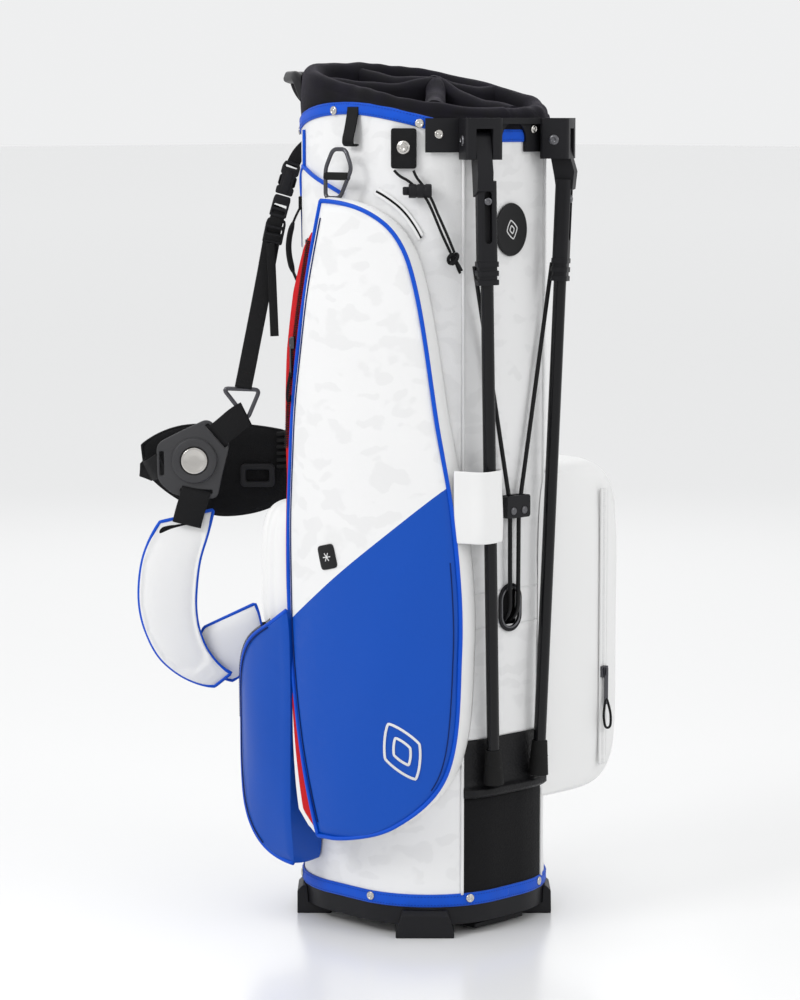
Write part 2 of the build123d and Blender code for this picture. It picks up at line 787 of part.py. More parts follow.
# ---------------------------------------------------------------- zipper sliders


def slider(plane, turn=0.0):
    """A slider body with its tape bridge and a hanging pull, on a plane whose y runs up the zip."""
    with BuildPart() as piece:
        with BuildSketch(plane):
            Rectangle(9, 12, rotation=turn)
        extrude(amount=4)
        with BuildSketch(plane.offset(4)):
            Rectangle(3, 9, rotation=turn)
        extrude(amount=3)
        with BuildSketch(plane.offset(4)):
            with Locations((0, -19)):
                Rectangle(5, 32)
        extrude(amount=2)
    return piece


def pocket_spot(across_pocket, height, depth):
    """A point in the tall pocket's own directions: across it, up, and out from the tube's axis."""
    at = pocket_plane.from_local_coords(Vector(across_pocket, height, depth))
    return (at.X, at.Y, at.Z)


side_way = tuple(-part for part in pocket_plane.x_dir)
for name, across_pocket, height in (("upper", -69.0, 708), ("lower", -87.5, 608)):
    place = Plane(origin=pocket_spot(across_pocket, height, 134), x_dir=pocket_plane.z_dir, z_dir=side_way)
    save(slider(place), f"tall_slider_{name}")

save(slider(Plane(origin=(-131.6, -120, 230), x_dir=(0, -1, 0), z_dir=(-1, 0, 0))), "ball_slider")
save(slider(Plane(origin=(118.6, 150, 250), x_dir=(0, 1, 0), z_dir=(1, 0, 0))), "far_slider")

# ---------------------------------------------------------------- handles and shoulder harness


def harness_plane(out):
    """The upright plane that the hanging harness lies in, moved towards the near belly corner."""
    turn = radians(harness_turn)
    plane = Plane(origin=(0, 0, 0), x_dir=(cos(turn), sin(turn), 0), z_dir=(sin(turn), -cos(turn), 0))
    return plane.offset(out)


def flat_piece(points, out, thickness):
    """A flat piece in the harness plane from its outline."""
    with BuildPart() as piece:
        with BuildSketch(harness_plane(out)):
            with BuildLine():
                Polyline(*points, points[0])
            make_face()
        extrude(amount=thickness)
    return piece.part


def band(start, end, width):
    """Corners of a straight band of webbing between two points."""
    run = Vector(end[0] - start[0], end[1] - start[1], 0)
    half = Vector(-run.Y, run.X, 0).normalized() * (width / 2)
    first = Vector(*start, 0)
    last = Vector(*end, 0)
    return [(corner.X, corner.Y) for corner in (first + half, last + half, last - half, first - half)]


# Webbing grab handle on the near spine corner
with BuildPart() as carry_handle:
    with BuildSketch(harness_plane(-22)):
        with BuildLine():
            Spline((-129, 744), (-139, 722), (-143, 700), (-139, 676), (-129, 656))
            Line((-129, 656), (-129, 660))
            Spline((-129, 660), (-137, 680), (-140.5, 700), (-137, 720), (-129, 740))
            Line((-129, 740), (-129, 744))
        make_face()
    extrude(amount=22)
    with BuildSketch(wall_plane(-143, 700, 0.8)):
        with Locations((0, -46), (0, 46)):
            Rectangle(22, 12)
    extrude(amount=4)
    extrude(outline(500, 0.5), amount=400, mode=Mode.SUBTRACT)
save(carry_handle, "carry_handle")

hub_out = -36.0
hub_u = -243.0
hub_z = 474.0
with BuildPart() as buckle_socket:
    add(flat_piece(band((-137.5, 788), (-147.5, 754), 19), -36, 10))
save(buckle_socket, "buckle_socket")

with BuildPart() as buckle_plug:
    add(flat_piece(band((-147.8, 753), (-154, 731), 18), -35, 8))
save(buckle_plug, "buckle_plug")

with BuildPart() as ladder_lock:
    add(flat_piece(band((-154.4, 729), (-160, 703), 21), -36, 7))
save(ladder_lock, "ladder_lock")

# Triangular ring that joins the hanging strap to the hub's webbing
with BuildPart() as strap_ring:
    with BuildSketch(harness_plane(-36)):
        with BuildLine():
            Polyline((-216, 553), (-170, 551), (-186, 514), (-216, 553))
        make_face()
        with BuildLine():
            Polyline((-206.5, 547.5), (-178, 546.5), (-188, 523.5), (-206.5, 547.5))
        make_face(mode=Mode.SUBTRACT)
    extrude(amount=5)
save(strap_ring, "strap_ring")

# Hub plate: a rounded plate with three webbing slots and a raised ring
with BuildPart() as hub_plate:
    with BuildSketch(harness_plane(hub_out)):
        with BuildLine():
            Polyline((-283, 492), (-262, 503), (-228, 519), (-205, 493), (-214, 458), (-219, 433),
                     (-265, 437), (-282, 452), (-283, 492))
        make_face()
        fillet(vertices(), 7)
        with Locations(Location((-219.5, 500.5), 45 - 94)):
            Rectangle(32, 4.5, mode=Mode.SUBTRACT)
        with Locations((-277.5, 471)):
            Rectangle(4.5, 26, mode=Mode.SUBTRACT)
        with Locations(Location((-241, 441.5), -3)):
            Rectangle(34, 4.5, mode=Mode.SUBTRACT)
    extrude(amount=4)
    with BuildSketch(harness_plane(hub_out + 4)):
        with Locations((hub_u, hub_z)):
            Circle(24)
            Circle(15, mode=Mode.SUBTRACT)
    extrude(amount=3.5)
    with BuildSketch(harness_plane(hub_out + 4)):
        with Locations((hub_u, hub_z)):
            Circle(14.6)
    extrude(amount=4.5)
save(hub_plate, "hub_plate")

# Padded shoulder straps as closed soft solids
with BuildPart() as pad_near:
    with BuildSketch(harness_plane(-52)):
        with BuildLine():
            Spline((-281, 405), (-303, 345), (-297, 290), (-262, 243), (-226, 230))
            Polyline((-226, 230), (-210, 238), (-224, 262))
            Spline((-224, 262), (-243, 300), (-243, 345), (-232, 385), (-222, 424))
            Line((-222, 424), (-281, 405))
        make_face()
    extrude(amount=14)
    with BuildSketch(harness_plane(-66)):
        with BuildLine():
            Polyline((-252, 246), (-208, 234), (-172, 262), (-180, 316), (-238, 290), (-252, 246))
        make_face()
    extrude(amount=14.5)
save(pad_near, "pad_near")

with BuildPart() as pad_far:
    with BuildSketch(harness_plane(-100)):
        with BuildLine():
            Polyline((-300, 456), (-303, 484), (-262, 504), (-206, 506), (-150, 500), (-140, 430),
                     (-176, 414), (-216, 408), (-262, 424), (-300, 456))
        make_face()
    extrude(amount=13)
save(pad_far, "pad_far")

# All webbing of the harness: top anchor, hanging strap and its tail, hub straps, lower straps to the spine
with BuildPart() as harness_webbing:
    add(flat_piece(band((-126, 802), (-134.5, 792), 14), -36, 8))
    add(flat_piece(band((-160.4, 702), (-190.5, 554), 18), -34, webbing_t))
    add(flat_piece(band((-163, 702), (-158, 612), 9), -30, webbing_t))
    add(flat_piece(band((-190, 528), (-216, 502), 32), -30, webbing_t))
    add(flat_piece(band((-240, 442), (-250, 414), 34), -30, webbing_t))
    add(flat_piece(band((-277, 472), (-290, 462), 24), -44, webbing_t))
    add(flat_piece(band((-171, 284), (-103, 292), 26), -66, webbing_t))
    add(flat_piece(band((-139.5, 466), (-66, 470), 26), -94, webbing_t))
    extrude(outline(200, gap), amount=700, mode=Mode.SUBTRACT)
save(harness_webbing, "harness_webbing")
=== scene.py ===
import json
import math

import bmesh
import bpy
import numpy as np
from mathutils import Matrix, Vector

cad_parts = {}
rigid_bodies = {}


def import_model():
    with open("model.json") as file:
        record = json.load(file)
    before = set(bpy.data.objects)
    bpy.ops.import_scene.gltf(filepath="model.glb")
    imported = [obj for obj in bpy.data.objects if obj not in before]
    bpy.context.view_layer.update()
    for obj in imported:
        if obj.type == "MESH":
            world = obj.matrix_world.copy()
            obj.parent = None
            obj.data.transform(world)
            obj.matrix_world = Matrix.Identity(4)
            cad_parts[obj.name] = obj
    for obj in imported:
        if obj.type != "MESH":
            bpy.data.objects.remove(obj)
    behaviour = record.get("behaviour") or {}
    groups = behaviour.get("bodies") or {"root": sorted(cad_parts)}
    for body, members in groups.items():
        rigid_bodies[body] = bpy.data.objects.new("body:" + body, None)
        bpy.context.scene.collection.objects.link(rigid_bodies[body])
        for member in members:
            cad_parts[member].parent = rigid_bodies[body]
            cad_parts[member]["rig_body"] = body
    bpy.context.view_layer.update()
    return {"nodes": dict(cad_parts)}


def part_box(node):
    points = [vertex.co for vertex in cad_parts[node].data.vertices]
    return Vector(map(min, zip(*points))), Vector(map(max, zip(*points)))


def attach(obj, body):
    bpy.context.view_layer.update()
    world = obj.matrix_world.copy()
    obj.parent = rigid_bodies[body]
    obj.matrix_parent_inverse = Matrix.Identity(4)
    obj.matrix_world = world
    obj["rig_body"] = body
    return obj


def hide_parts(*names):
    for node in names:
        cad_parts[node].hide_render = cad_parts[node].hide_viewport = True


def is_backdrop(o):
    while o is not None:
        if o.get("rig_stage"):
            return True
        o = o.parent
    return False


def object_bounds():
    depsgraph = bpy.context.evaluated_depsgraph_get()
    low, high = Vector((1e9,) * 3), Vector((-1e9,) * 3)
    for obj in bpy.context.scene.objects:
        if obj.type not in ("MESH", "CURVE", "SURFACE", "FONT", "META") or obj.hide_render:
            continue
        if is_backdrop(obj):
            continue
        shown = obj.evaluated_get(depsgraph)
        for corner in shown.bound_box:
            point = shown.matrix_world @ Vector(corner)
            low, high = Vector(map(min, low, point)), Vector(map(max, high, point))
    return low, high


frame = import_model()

# ---------------------------------------------------------------- studio
# A pale seamless floor, four soft lamps and a long lens at the height of the bag's mouth.
# None of it belongs to the bag.
camera_data = bpy.data.cameras.new("camera")
camera_data.sensor_fit = "VERTICAL"
camera_data.sensor_height = 36.0
camera_data.sensor_width = 36.0
camera_data.lens = 114.1
camera = bpy.data.objects.new("camera", camera_data)
bpy.context.scene.collection.objects.link(camera)
camera.location = (2.3154, -2.3515, 0.840)
camera.rotation_euler = (math.radians(90 - 6.98), 0.0, math.radians(45))
bpy.context.scene.camera = camera


def soft_lamp(name, place, aim, size, power):
    """A square area lamp at a place, turned to an aim point."""
    data = bpy.data.lights.new(name, "AREA")
    data.shape = "SQUARE"
    data.size = size
    data.energy = power
    lamp = bpy.data.objects.new(name, data)
    bpy.context.scene.collection.objects.link(lamp)
    lamp.location = place
    way = bpy.context.scene.camera.location.copy()
    way.x, way.y, way.z = (aim[i] - place[i] for i in range(3))
    lamp.rotation_euler = way.to_track_quat("-Z", "Y").to_euler()


soft_lamp("key_lamp", (-0.4, -2.6, 2.2), (0, 0, 0.45), 1.0, 30)
soft_lamp("side_lamp", (2.6, 0.6, 1.6), (0, 0, 0.45), 1.2, 11)
soft_lamp("top_lamp", (0.0, 0.0, 3.0), (0, 0, 0.5), 2.0, 8)
soft_lamp("back_lamp", (-2.2, 2.0, 1.8), (0, 0, 0.5), 1.6, 9)

world = bpy.data.worlds.new("studio")
bpy.context.scene.world = world
world.use_nodes = True
world.node_tree.nodes["Background"].inputs["Color"].default_value = (0.955, 0.96, 0.965, 1)
world.node_tree.nodes["Background"].inputs["Strength"].default_value = 0.9
bpy.context.scene.view_settings.view_transform = "Standard"

floor_half = 60.0
floor_mesh = bpy.data.meshes.new("floor")
corners = [(-floor_half, -floor_half, 0), (floor_half, -floor_half, 0), (floor_half, floor_half, 0),
           (-floor_half, floor_half, 0)]
floor_mesh.from_pydata(corners, [], [(0, 1, 2, 3)])
floor = bpy.data.objects.new("floor", floor_mesh)
bpy.context.scene.collection.objects.link(floor)
floor_finish = bpy.data.materials.new("floor")
floor_finish.use_nodes = True
floor_shader = floor_finish.node_tree.nodes["Principled BSDF"]
floor_shader.inputs["Base Color"].default_value = (0.87, 0.87, 0.87, 1)
floor_shader.inputs["Roughness"].default_value = 0.22
floor_mesh.materials.append(floor_finish)
floor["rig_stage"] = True

# ---------------------------------------------------------------- moulded base cup and feet
# The cup, its four flared feet and the other hard black parts are injection mouldings in
# glass-filled nylon with a fine spark-eroded grain. Their edges have a small moulded radius.
MM = 0.001


def group_with(name, sockets_in, sockets_out):
    """An empty shader node group with named sockets; returns it with its two end nodes."""
    group = bpy.data.node_groups.new(name, "ShaderNodeTree")
    for label, kind, value in sockets_in:
        socket = group.interface.new_socket(name=label, in_out="INPUT", socket_type=kind)
        if value is not None:
            socket.default_value = value
    for label, kind in sockets_out:
        group.interface.new_socket(name=label, in_out="OUTPUT", socket_type=kind)
    start = group.nodes.new("NodeGroupInput")
    end = group.nodes.new("NodeGroupOutput")
    return group, start, end


def math_node(group, kind, first, second):
    """A Math node with each input linked to a socket or set to a number."""
    node = group.nodes.new("ShaderNodeMath")
    node.operation = kind
    for socket, value in zip(node.inputs, (first, second)):
        if isinstance(value, (int, float)):
            socket.default_value = value
        else:
            group.links.new(value, socket)
    return node.outputs[0]


def noise_node(group, vector, scale, detail, roughness=0.5):
    """A Noise Texture on a vector, its scale a number or a socket; returns its value output."""
    node = group.nodes.new("ShaderNodeTexNoise")
    node.inputs["Detail"].default_value = detail
    node.inputs["Roughness"].default_value = roughness
    group.links.new(vector, node.inputs["Vector"])
    if isinstance(scale, (int, float)):
        node.inputs["Scale"].default_value = scale
    else:
        group.links.new(scale, node.inputs["Scale"])
    return node.outputs[0]


grain_group, start, end = group_with(
    "grain",
    [("Vector", "NodeSocketVector", None), ("Scale", "NodeSocketFloat", 900.0)],
    [("Height", "NodeSocketFloat"), ("Patches", "NodeSocketFloat")],
)
fine = noise_node(grain_group, start.outputs["Vector"], start.outputs["Scale"], 3)
grain_group.links.new(fine, end.inputs["Height"])
grain_group.links.new(noise_node(grain_group, start.outputs["Vector"], 28.0, 4, 0.6), end.inputs["Patches"])


def finish(name, colour, roughness, group, scale, bump, coordinates="Object", dark=0.75, spread=0.12, **own):
    """A material: a pattern group drives colour between two shades, roughness about its mean, and bump."""
    material = bpy.data.materials.new(name)
    material.use_nodes = True
    tree = material.node_tree
    shader = tree.nodes["Principled BSDF"]
    shader.inputs["Specular IOR Level"].default_value = 0.2
    for label, value in own.items():
        shader.inputs[label.replace("_", " ")].default_value = value
    source = tree.nodes.new("ShaderNodeTexCoord")
    pattern = tree.nodes.new("ShaderNodeGroup")
    pattern.node_tree = group
    tree.links.new(source.outputs[coordinates], pattern.inputs["Vector"])
    pattern.inputs["Scale"].default_value = scale
    shades = tree.nodes.new("ShaderNodeMix")
    shades.data_type = "RGBA"
    shades.inputs[6].default_value = (*[c * dark for c in colour], 1)
    shades.inputs[7].default_value = (*colour, 1)
    tree.links.new(pattern.outputs["Patches"], shades.inputs[0])
    tree.links.new(shades.outputs[2], shader.inputs["Base Color"])
    gloss = tree.nodes.new("ShaderNodeMapRange")
    gloss.inputs["To Min"].default_value = max(roughness - spread, 0.03)
    gloss.inputs["To Max"].default_value = min(roughness + spread, 1.0)
    tree.links.new(pattern.outputs["Patches"], gloss.inputs["Value"])
    tree.links.new(gloss.outputs[0], shader.inputs["Roughness"])
    relief = tree.nodes.new("ShaderNodeBump")
    relief.inputs["Distance"].default_value = bump * MM
    relief.inputs["Strength"].default_value = 0.6
    tree.links.new(pattern.outputs["Height"], relief.inputs["Height"])
    tree.links.new(relief.outputs[0], shader.inputs["Normal"])
    return material


black_moulding = finish("black_moulding", (0.011, 0.011, 0.013), 0.46, grain_group, 1400.0, 0.12)


def moulded(node, material, edge=0.5, name=None):
    """A copy of a CAD node with flat faces whole again and a small radius on its sharp edges."""
    source = frame["nodes"][node]
    mesh = source.data.copy()
    work = bmesh.new()
    work.from_mesh(mesh)
    bmesh.ops.remove_doubles(work, verts=work.verts, dist=1e-6)
    bmesh.ops.dissolve_limit(work, angle_limit=math.radians(0.6), verts=work.verts, edges=work.edges)
    for face in work.faces:
        face.smooth = True
    for seam in work.edges:
        seam.smooth = seam.is_manifold and seam.calc_face_angle(0) < math.radians(32)
    work.to_mesh(mesh)
    work.free()
    mesh.materials.clear()
    mesh.materials.append(material)
    piece = bpy.data.objects.new(name or f"{node}_moulded", mesh)
    bpy.context.scene.collection.objects.link(piece)
    if edge:
        rounding = piece.modifiers.new("edge radius", "BEVEL")
        rounding.width = edge * MM
        rounding.segments = 2
        rounding.limit_method = "ANGLE"
        rounding.angle_limit = math.radians(34)
        rounding.use_clamp_overlap = True
        rounding.harden_normals = True
    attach(piece, source["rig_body"])
    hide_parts(node)
    return piece


moulded("base_shell", black_moulding, 0.6)
moulded("base_feet", black_moulding, 1.0)
moulded("kick_plate", black_moulding, 0.8)

# ---------------------------------------------------------------- sewn tube of the bag
# Panels of white polyurethane-coated polyester, printed with a very faint mottle, are sewn into
# a tube over a thin foam. The seams pull the cloth in, and it hangs in soft shallow folds.
tube_corner = 98.0
half_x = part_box("mesh_panel")[1].x / MM
half_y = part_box("side_panel_far")[1].y / MM
skin_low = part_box("spine_panel")[0].z / MM
flat_x = half_x - tube_corner
flat_y = half_y - tube_corner


def outline_table(steps=48):
    """Quarter circles about four corner centres, joined by the flats: length, x, y and normal."""
    turns = np.linspace(0, math.pi / 2, steps)
    rows = []
    for quarter in range(4):
        angles = turns + quarter * math.pi / 2
        sign_x = 1 if quarter in (0, 3) else -1
        sign_y = 1 if quarter in (0, 1) else -1
        rows.append(np.stack([sign_x * flat_x + tube_corner * np.cos(angles),
                              sign_y * flat_y + tube_corner * np.sin(angles),
                              np.cos(angles), np.sin(angles)], 1))
    table = np.concatenate(rows + [rows[0][:1]])
    length = np.concatenate([[0], np.cumsum(np.hypot(*np.diff(table[:, :2], axis=0).T))])
    return length + flat_y, table


outline_s, outline_rows = outline_table()
girth = outline_s[-1] - outline_s[0]


def around(s, out=0.0):
    """Points on the tube's outline at length s from the middle of its belly, and how far out; x and y."""
    s = np.mod(np.asarray(s, float) - flat_y, girth) + flat_y
    x, y, normal_x, normal_y = (np.interp(s, outline_s, column) for column in outline_rows.T)
    return x + normal_x * out, y + normal_y * out


def girth_at(x, y):
    """Length along the outline of its point nearest to x, y."""
    near = np.argmin(np.hypot(outline_rows[:, 0] - x, outline_rows[:, 1] - y))
    return outline_s[near]


def arched(x):
    """Height of the skin's arched upper edge: a circle through three points, tilted a little."""
    rise = 90.0
    radius = (200 ** 2 + rise ** 2) / (2 * rise)
    return 850.0 - radius + np.sqrt(radius ** 2 - x ** 2) + 0.015 * x


def rim_height(x):
    """Height of the sloping mouth."""
    return 868.5 - 47.0 / 244.0 * x


def grid_mesh(name, points, closed_u=False, closed_v=False, capped=False, flip=False):
    """A mesh over a grid of points, with UVs in metres; ends may wrap round or close to a centre point."""
    rows, columns = points.shape[:2]
    index = np.arange(rows * columns).reshape(rows, columns)
    if closed_u:
        index = np.concatenate([index, index[:1]])
    if closed_v:
        index = np.concatenate([index, index[:, :1]], 1)
    quads = np.stack([index[:-1, :-1], index[1:, :-1], index[1:, 1:], index[:-1, 1:]], -1).reshape(-1, 4)
    vertices = points.reshape(-1, 3)
    faces = quads.tolist()
    if capped:
        centres = np.stack([points[0].mean(0), points[-1].mean(0)])
        first = len(vertices)
        vertices = np.concatenate([vertices, centres])
        ring = index[0]
        faces += np.stack([ring[:-1], ring[1:], np.full(len(ring) - 1, first)], 1).tolist()
        ring = index[-1]
        faces += np.stack([ring[1:], ring[:-1], np.full(len(ring) - 1, first + 1)], 1).tolist()
    if flip:
        faces = [face[::-1] for face in faces]
    mesh = bpy.data.meshes.new(name)
    mesh.from_pydata((vertices * MM).tolist(), [], faces)
    across = np.linalg.norm(np.diff(points, axis=1), axis=2).cumsum(1)
    along = np.linalg.norm(np.diff(points, axis=0), axis=2).cumsum(0)
    u = np.concatenate([np.zeros((1, columns)), along])
    v = np.concatenate([np.zeros((rows, 1)), across], 1)
    flat = np.stack([u, v], -1).reshape(-1, 2)
    flat = np.concatenate([flat, np.zeros((len(vertices) - len(flat), 2))])
    corner_of = np.zeros(len(mesh.loops), np.int32)
    mesh.loops.foreach_get("vertex_index", corner_of)
    layer = mesh.uv_layers.new(name="metres")
    layer.data.foreach_set("uv", (flat[corner_of] * MM).astype(np.float32).ravel())
    mesh.polygons.foreach_set("use_smooth", np.ones(len(mesh.polygons), bool))
    mesh.update()
    return mesh


def made(name, mesh, material, slot, body="bag", nodes=(), wall=0.0, soften=0):
    """A finished piece from a mesh: its material, body and the CAD nodes it stands for; the slot argument is not used.
    """
    mesh.materials.append(material)
    piece = bpy.data.objects.new(name, mesh)
    bpy.context.scene.collection.objects.link(piece)
    if wall:
        thickness = piece.modifiers.new("wall", "SOLIDIFY")
        thickness.thickness = wall * MM
        thickness.offset = -1
    if soften:
        smoother = piece.modifiers.new("smooth", "SUBSURF")
        smoother.levels = soften
        smoother.render_levels = soften
    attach(piece, body)
    if nodes:
        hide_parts(*nodes)
    return piece


def folds(s, z, strength):
    """Shallow folds: slanting sine waves whose strength fades in and out over the cloth."""
    slow = np.sin(s / 61 + 1.3) * np.sin(z / 143 + 0.4) + 0.6 * np.sin(s / 37 - z / 98 + 2.1)
    fold = np.sin((s + 0.55 * z) / 23 + 1.7 * np.sin(z / 77)) * np.clip(np.sin(z / 118 + s / 53), 0, 1) ** 2
    return -strength * (1.1 + 0.7 * slow + 0.5 * fold)


coat_group, start, end = group_with(
    "coated_cloth",
    [("Vector", "NodeSocketVector", None), ("Scale", "NodeSocketFloat", 1800.0)],
    [("Height", "NodeSocketFloat"), ("Patches", "NodeSocketFloat")],
)
fine = noise_node(coat_group, start.outputs["Vector"], start.outputs["Scale"], 2)
crease = noise_node(coat_group, start.outputs["Vector"], 22.0, 5, 0.55)
mixed = math_node(coat_group, "MULTIPLY", crease, 6.0)
coat_group.links.new(math_node(coat_group, "ADD", mixed, fine), end.inputs["Height"])
warp = coat_group.nodes.new("ShaderNodeTexVoronoi")
warp.feature = "SMOOTH_F1"
warp.inputs["Scale"].default_value = 38.0
stretch = coat_group.nodes.new("ShaderNodeMapping")
stretch.inputs["Scale"].default_value = (1.0, 1.0, 1.9)
bend = coat_group.nodes.new("ShaderNodeVectorMath")
bend.operation = "MULTIPLY_ADD"
ripple = coat_group.nodes.new("ShaderNodeTexNoise")
ripple.inputs["Scale"].default_value = 24.0
ripple.inputs["Detail"].default_value = 3.0
coat_group.links.new(start.outputs["Vector"], ripple.inputs["Vector"])
coat_group.links.new(ripple.outputs["Color"], bend.inputs[0])
bend.inputs[1].default_value = (0.05, 0.05, 0.05)
coat_group.links.new(start.outputs["Vector"], bend.inputs[2])
coat_group.links.new(bend.outputs[0], stretch.inputs["Vector"])
coat_group.links.new(stretch.outputs[0], warp.inputs["Vector"])
step = coat_group.nodes.new("ShaderNodeMapRange")
step.interpolation_type = "SMOOTHSTEP"
step.inputs["From Min"].default_value = 0.30
step.inputs["From Max"].default_value = 0.42
coat_group.links.new(warp.outputs["Distance"], step.inputs["Value"])
coat_group.links.new(step.outputs[0], end.inputs["Patches"])

white_coat = finish("white_coated_cloth", (0.83, 0.83, 0.83), 0.46, coat_group, 1500.0, 0.35, dark=0.95,
                    spread=0.05, Coat_Weight=0.15, Coat_Roughness=0.35)
plain_white = finish("plain_white_cloth", (0.84, 0.84, 0.835), 0.42, grain_group, 1500.0, 0.10, dark=0.985,
                     spread=0.05)


def skin_panel(name, low_s, high_s, low_z, high_z, material, slot, nodes, strength=0.9, out=0.0, wall=2.0,
               step=3.2):
    """A patch of the tube: length round it by height, with folds that die out at its four seams."""
    columns = int((high_s - low_s) / step) + 2
    across = np.linspace(0, 1, columns)
    s = low_s + (high_s - low_s) * across
    x, _ = around(s)
    top = np.minimum(high_z, arched(x)) if high_z > 800 else np.full(columns, float(high_z))
    up = np.linspace(0, 1, int((high_z - low_z) / step) + 2)[:, None]
    z = low_z + (top - low_z) * up
    calm = np.clip(np.minimum(across, 1 - across) * (high_s - low_s) / 26, 0, 1)
    calm = calm * np.clip(np.minimum(up, 1 - up) * (high_z - low_z) / 30, 0, 1)
    x, y = around(np.broadcast_to(s, z.shape), out + folds(s, z, strength) * calm)
    mesh = grid_mesh(name, np.stack([x, y, z], -1), flip=True)
    return made(name, mesh, material, slot, nodes=nodes, wall=wall)


belly_seam = girth_at(half_x - 9.0, 60.0)
spine_seam = girth_at(-half_x + 6.0, 46.0)
skin_panel("near_side_panel", spine_seam - girth + 2 * (girth / 2 - spine_seam) + 0.4, -belly_seam - 0.4, skin_low, 870,
           white_coat, "white_fabric", ["side_panel_near"], 1.2)
skin_panel("far_side_panel", belly_seam + 0.4, spine_seam - 0.4, skin_low, 870, white_coat, "white_fabric",
           ["side_panel_far"], 1.2)
skin_panel("spine_cloth", spine_seam, girth - spine_seam, skin_low, 870, plain_white, "white_fabric",
           ["spine_panel"], 0.5)

# ---------------------------------------------------------------- belly panel, mesh and foot pad
# The belly panel is the same white cloth with an opening for the push rods. Below it are a
# pebbled leatherette pad with a padded ledge for the leg feet, and a black knitted mesh.
eyelet_low, eyelet_high = (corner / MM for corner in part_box("rod_eyelet"))
pad_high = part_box("leg_rest_pad")[1] / MM
mesh_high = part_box("mesh_panel")[1].z / MM

knit_group, start, end = group_with(
    "knit",
    [("Vector", "NodeSocketVector", None), ("Scale", "NodeSocketFloat", 500.0)],
    [("Height", "NodeSocketFloat"), ("Patches", "NodeSocketFloat")],
)
cells = knit_group.nodes.new("ShaderNodeTexVoronoi")
knit_group.links.new(start.outputs["Vector"], cells.inputs["Vector"])
knit_group.links.new(start.outputs["Scale"], cells.inputs["Scale"])
knit_group.links.new(cells.outputs["Distance"], end.inputs["Height"])
knit_group.links.new(cells.outputs["Distance"], end.inputs["Patches"])

black_knit = finish("black_knit", (0.006, 0.006, 0.007), 0.85, knit_group, 520.0, 0.5, dark=0.3,
                    Sheen_Weight=0.1, Sheen_Roughness=0.4)
pebbled = finish("pebbled_leatherette", (0.009, 0.009, 0.010), 0.46, knit_group, 360.0, 0.55, dark=0.7)

belly_rows = ((pad_high.z + 0.3, eyelet_low.z + 7), (eyelet_high.z - 7, 870.0))
skin_panel("belly_cloth_low", -belly_seam, belly_seam, *belly_rows[0], white_coat, "white_fabric", ["belly_panel"], 0.9)
skin_panel("belly_cloth_high", -belly_seam, belly_seam, *belly_rows[1], white_coat, "white_fabric", [], 1.2)
for side, name in ((-1, "near"), (1, "far")):
    edges = sorted((side * belly_seam, side * 11.0))
    skin_panel(f"belly_cloth_{name}", *edges, belly_rows[0][1] - 0.2, belly_rows[1][0] + 0.2, white_coat,
               "white_fabric", [], 0.2)
skin_panel("foot_mesh", -belly_seam + 0.3, belly_seam - 0.3, skin_low, mesh_high, black_knit, "black_mesh",
           ["mesh_panel"], 0.8)

ledge_rise = 12.0
across = np.linspace(-54.0, 54.0, 60)[None, :]
turn = np.linspace(0, 1, 34)[:, None]
profile_out = np.interp(turn, (0, 0.05, 0.2, 0.36, 0.5, 0.62, 1.0), (0.2, 6.5, 10.6, 10.4, 3.0, 0.9, 0.6))
profile_z = np.interp(turn, (0, 0.05, 0.2, 0.36, 0.5, 0.62, 1.0),
                      (mesh_high + 0.4, mesh_high + 0.6, mesh_high + 4, mesh_high + 9.5, mesh_high + ledge_rise,
                       mesh_high + 17, pad_high.z))
edge_calm = np.clip((54 - np.abs(across)) / 9, 0, 1) ** 0.5
sway = 3.5 * np.cos(across / 54 * 1.4) - 2.0
s = np.broadcast_to(across, (34, 60)) * (belly_seam / 54.0)
x, y = around(s, 0.3 + profile_out * edge_calm + 0.25 * np.sin(s / 7) * turn)
z = profile_z + np.where(turn > 0.45, sway * (turn - 0.45), 0)
made("foot_pad", grid_mesh("foot_pad", np.stack([x, y, z], -1), flip=True), pebbled, "black_leather",
     nodes=["leg_rest_pad"], wall=1.2)

# ---------------------------------------------------------------- edge binding, piping and rivets
# Royal blue grosgrain binds the foot and the mouth of the skin; a lock stitch runs along both
# edges. The seams are piped with cord in a blue or white cover. Rivets are nickel on brass.
weave_group, start, end = group_with(
    "ribbed_weave",
    [("Vector", "NodeSocketVector", None), ("Scale", "NodeSocketFloat", 900.0)],
    [("Height", "NodeSocketFloat"), ("Patches", "NodeSocketFloat")],
)
parts = weave_group.nodes.new("ShaderNodeSeparateXYZ")
weave_group.links.new(start.outputs["Vector"], parts.inputs[0])
warp_wave = math_node(weave_group, "SINE", math_node(weave_group, "MULTIPLY", parts.outputs[0],
                      math_node(weave_group, "MULTIPLY", start.outputs["Scale"], 6.2832)), 0.0)
weft_wave = math_node(weave_group, "SINE", math_node(weave_group, "MULTIPLY", parts.outputs[1],
                      math_node(weave_group, "MULTIPLY", start.outputs["Scale"], 3.1416)), 0.0)
cross = math_node(weave_group, "MULTIPLY", warp_wave, weft_wave)
weave_group.links.new(math_node(weave_group, "MULTIPLY_ADD", cross, 0.5), end.inputs["Height"])
weave_group.links.new(noise_node(weave_group, start.outputs["Vector"], 60.0, 4, 0.6), end.inputs["Patches"])

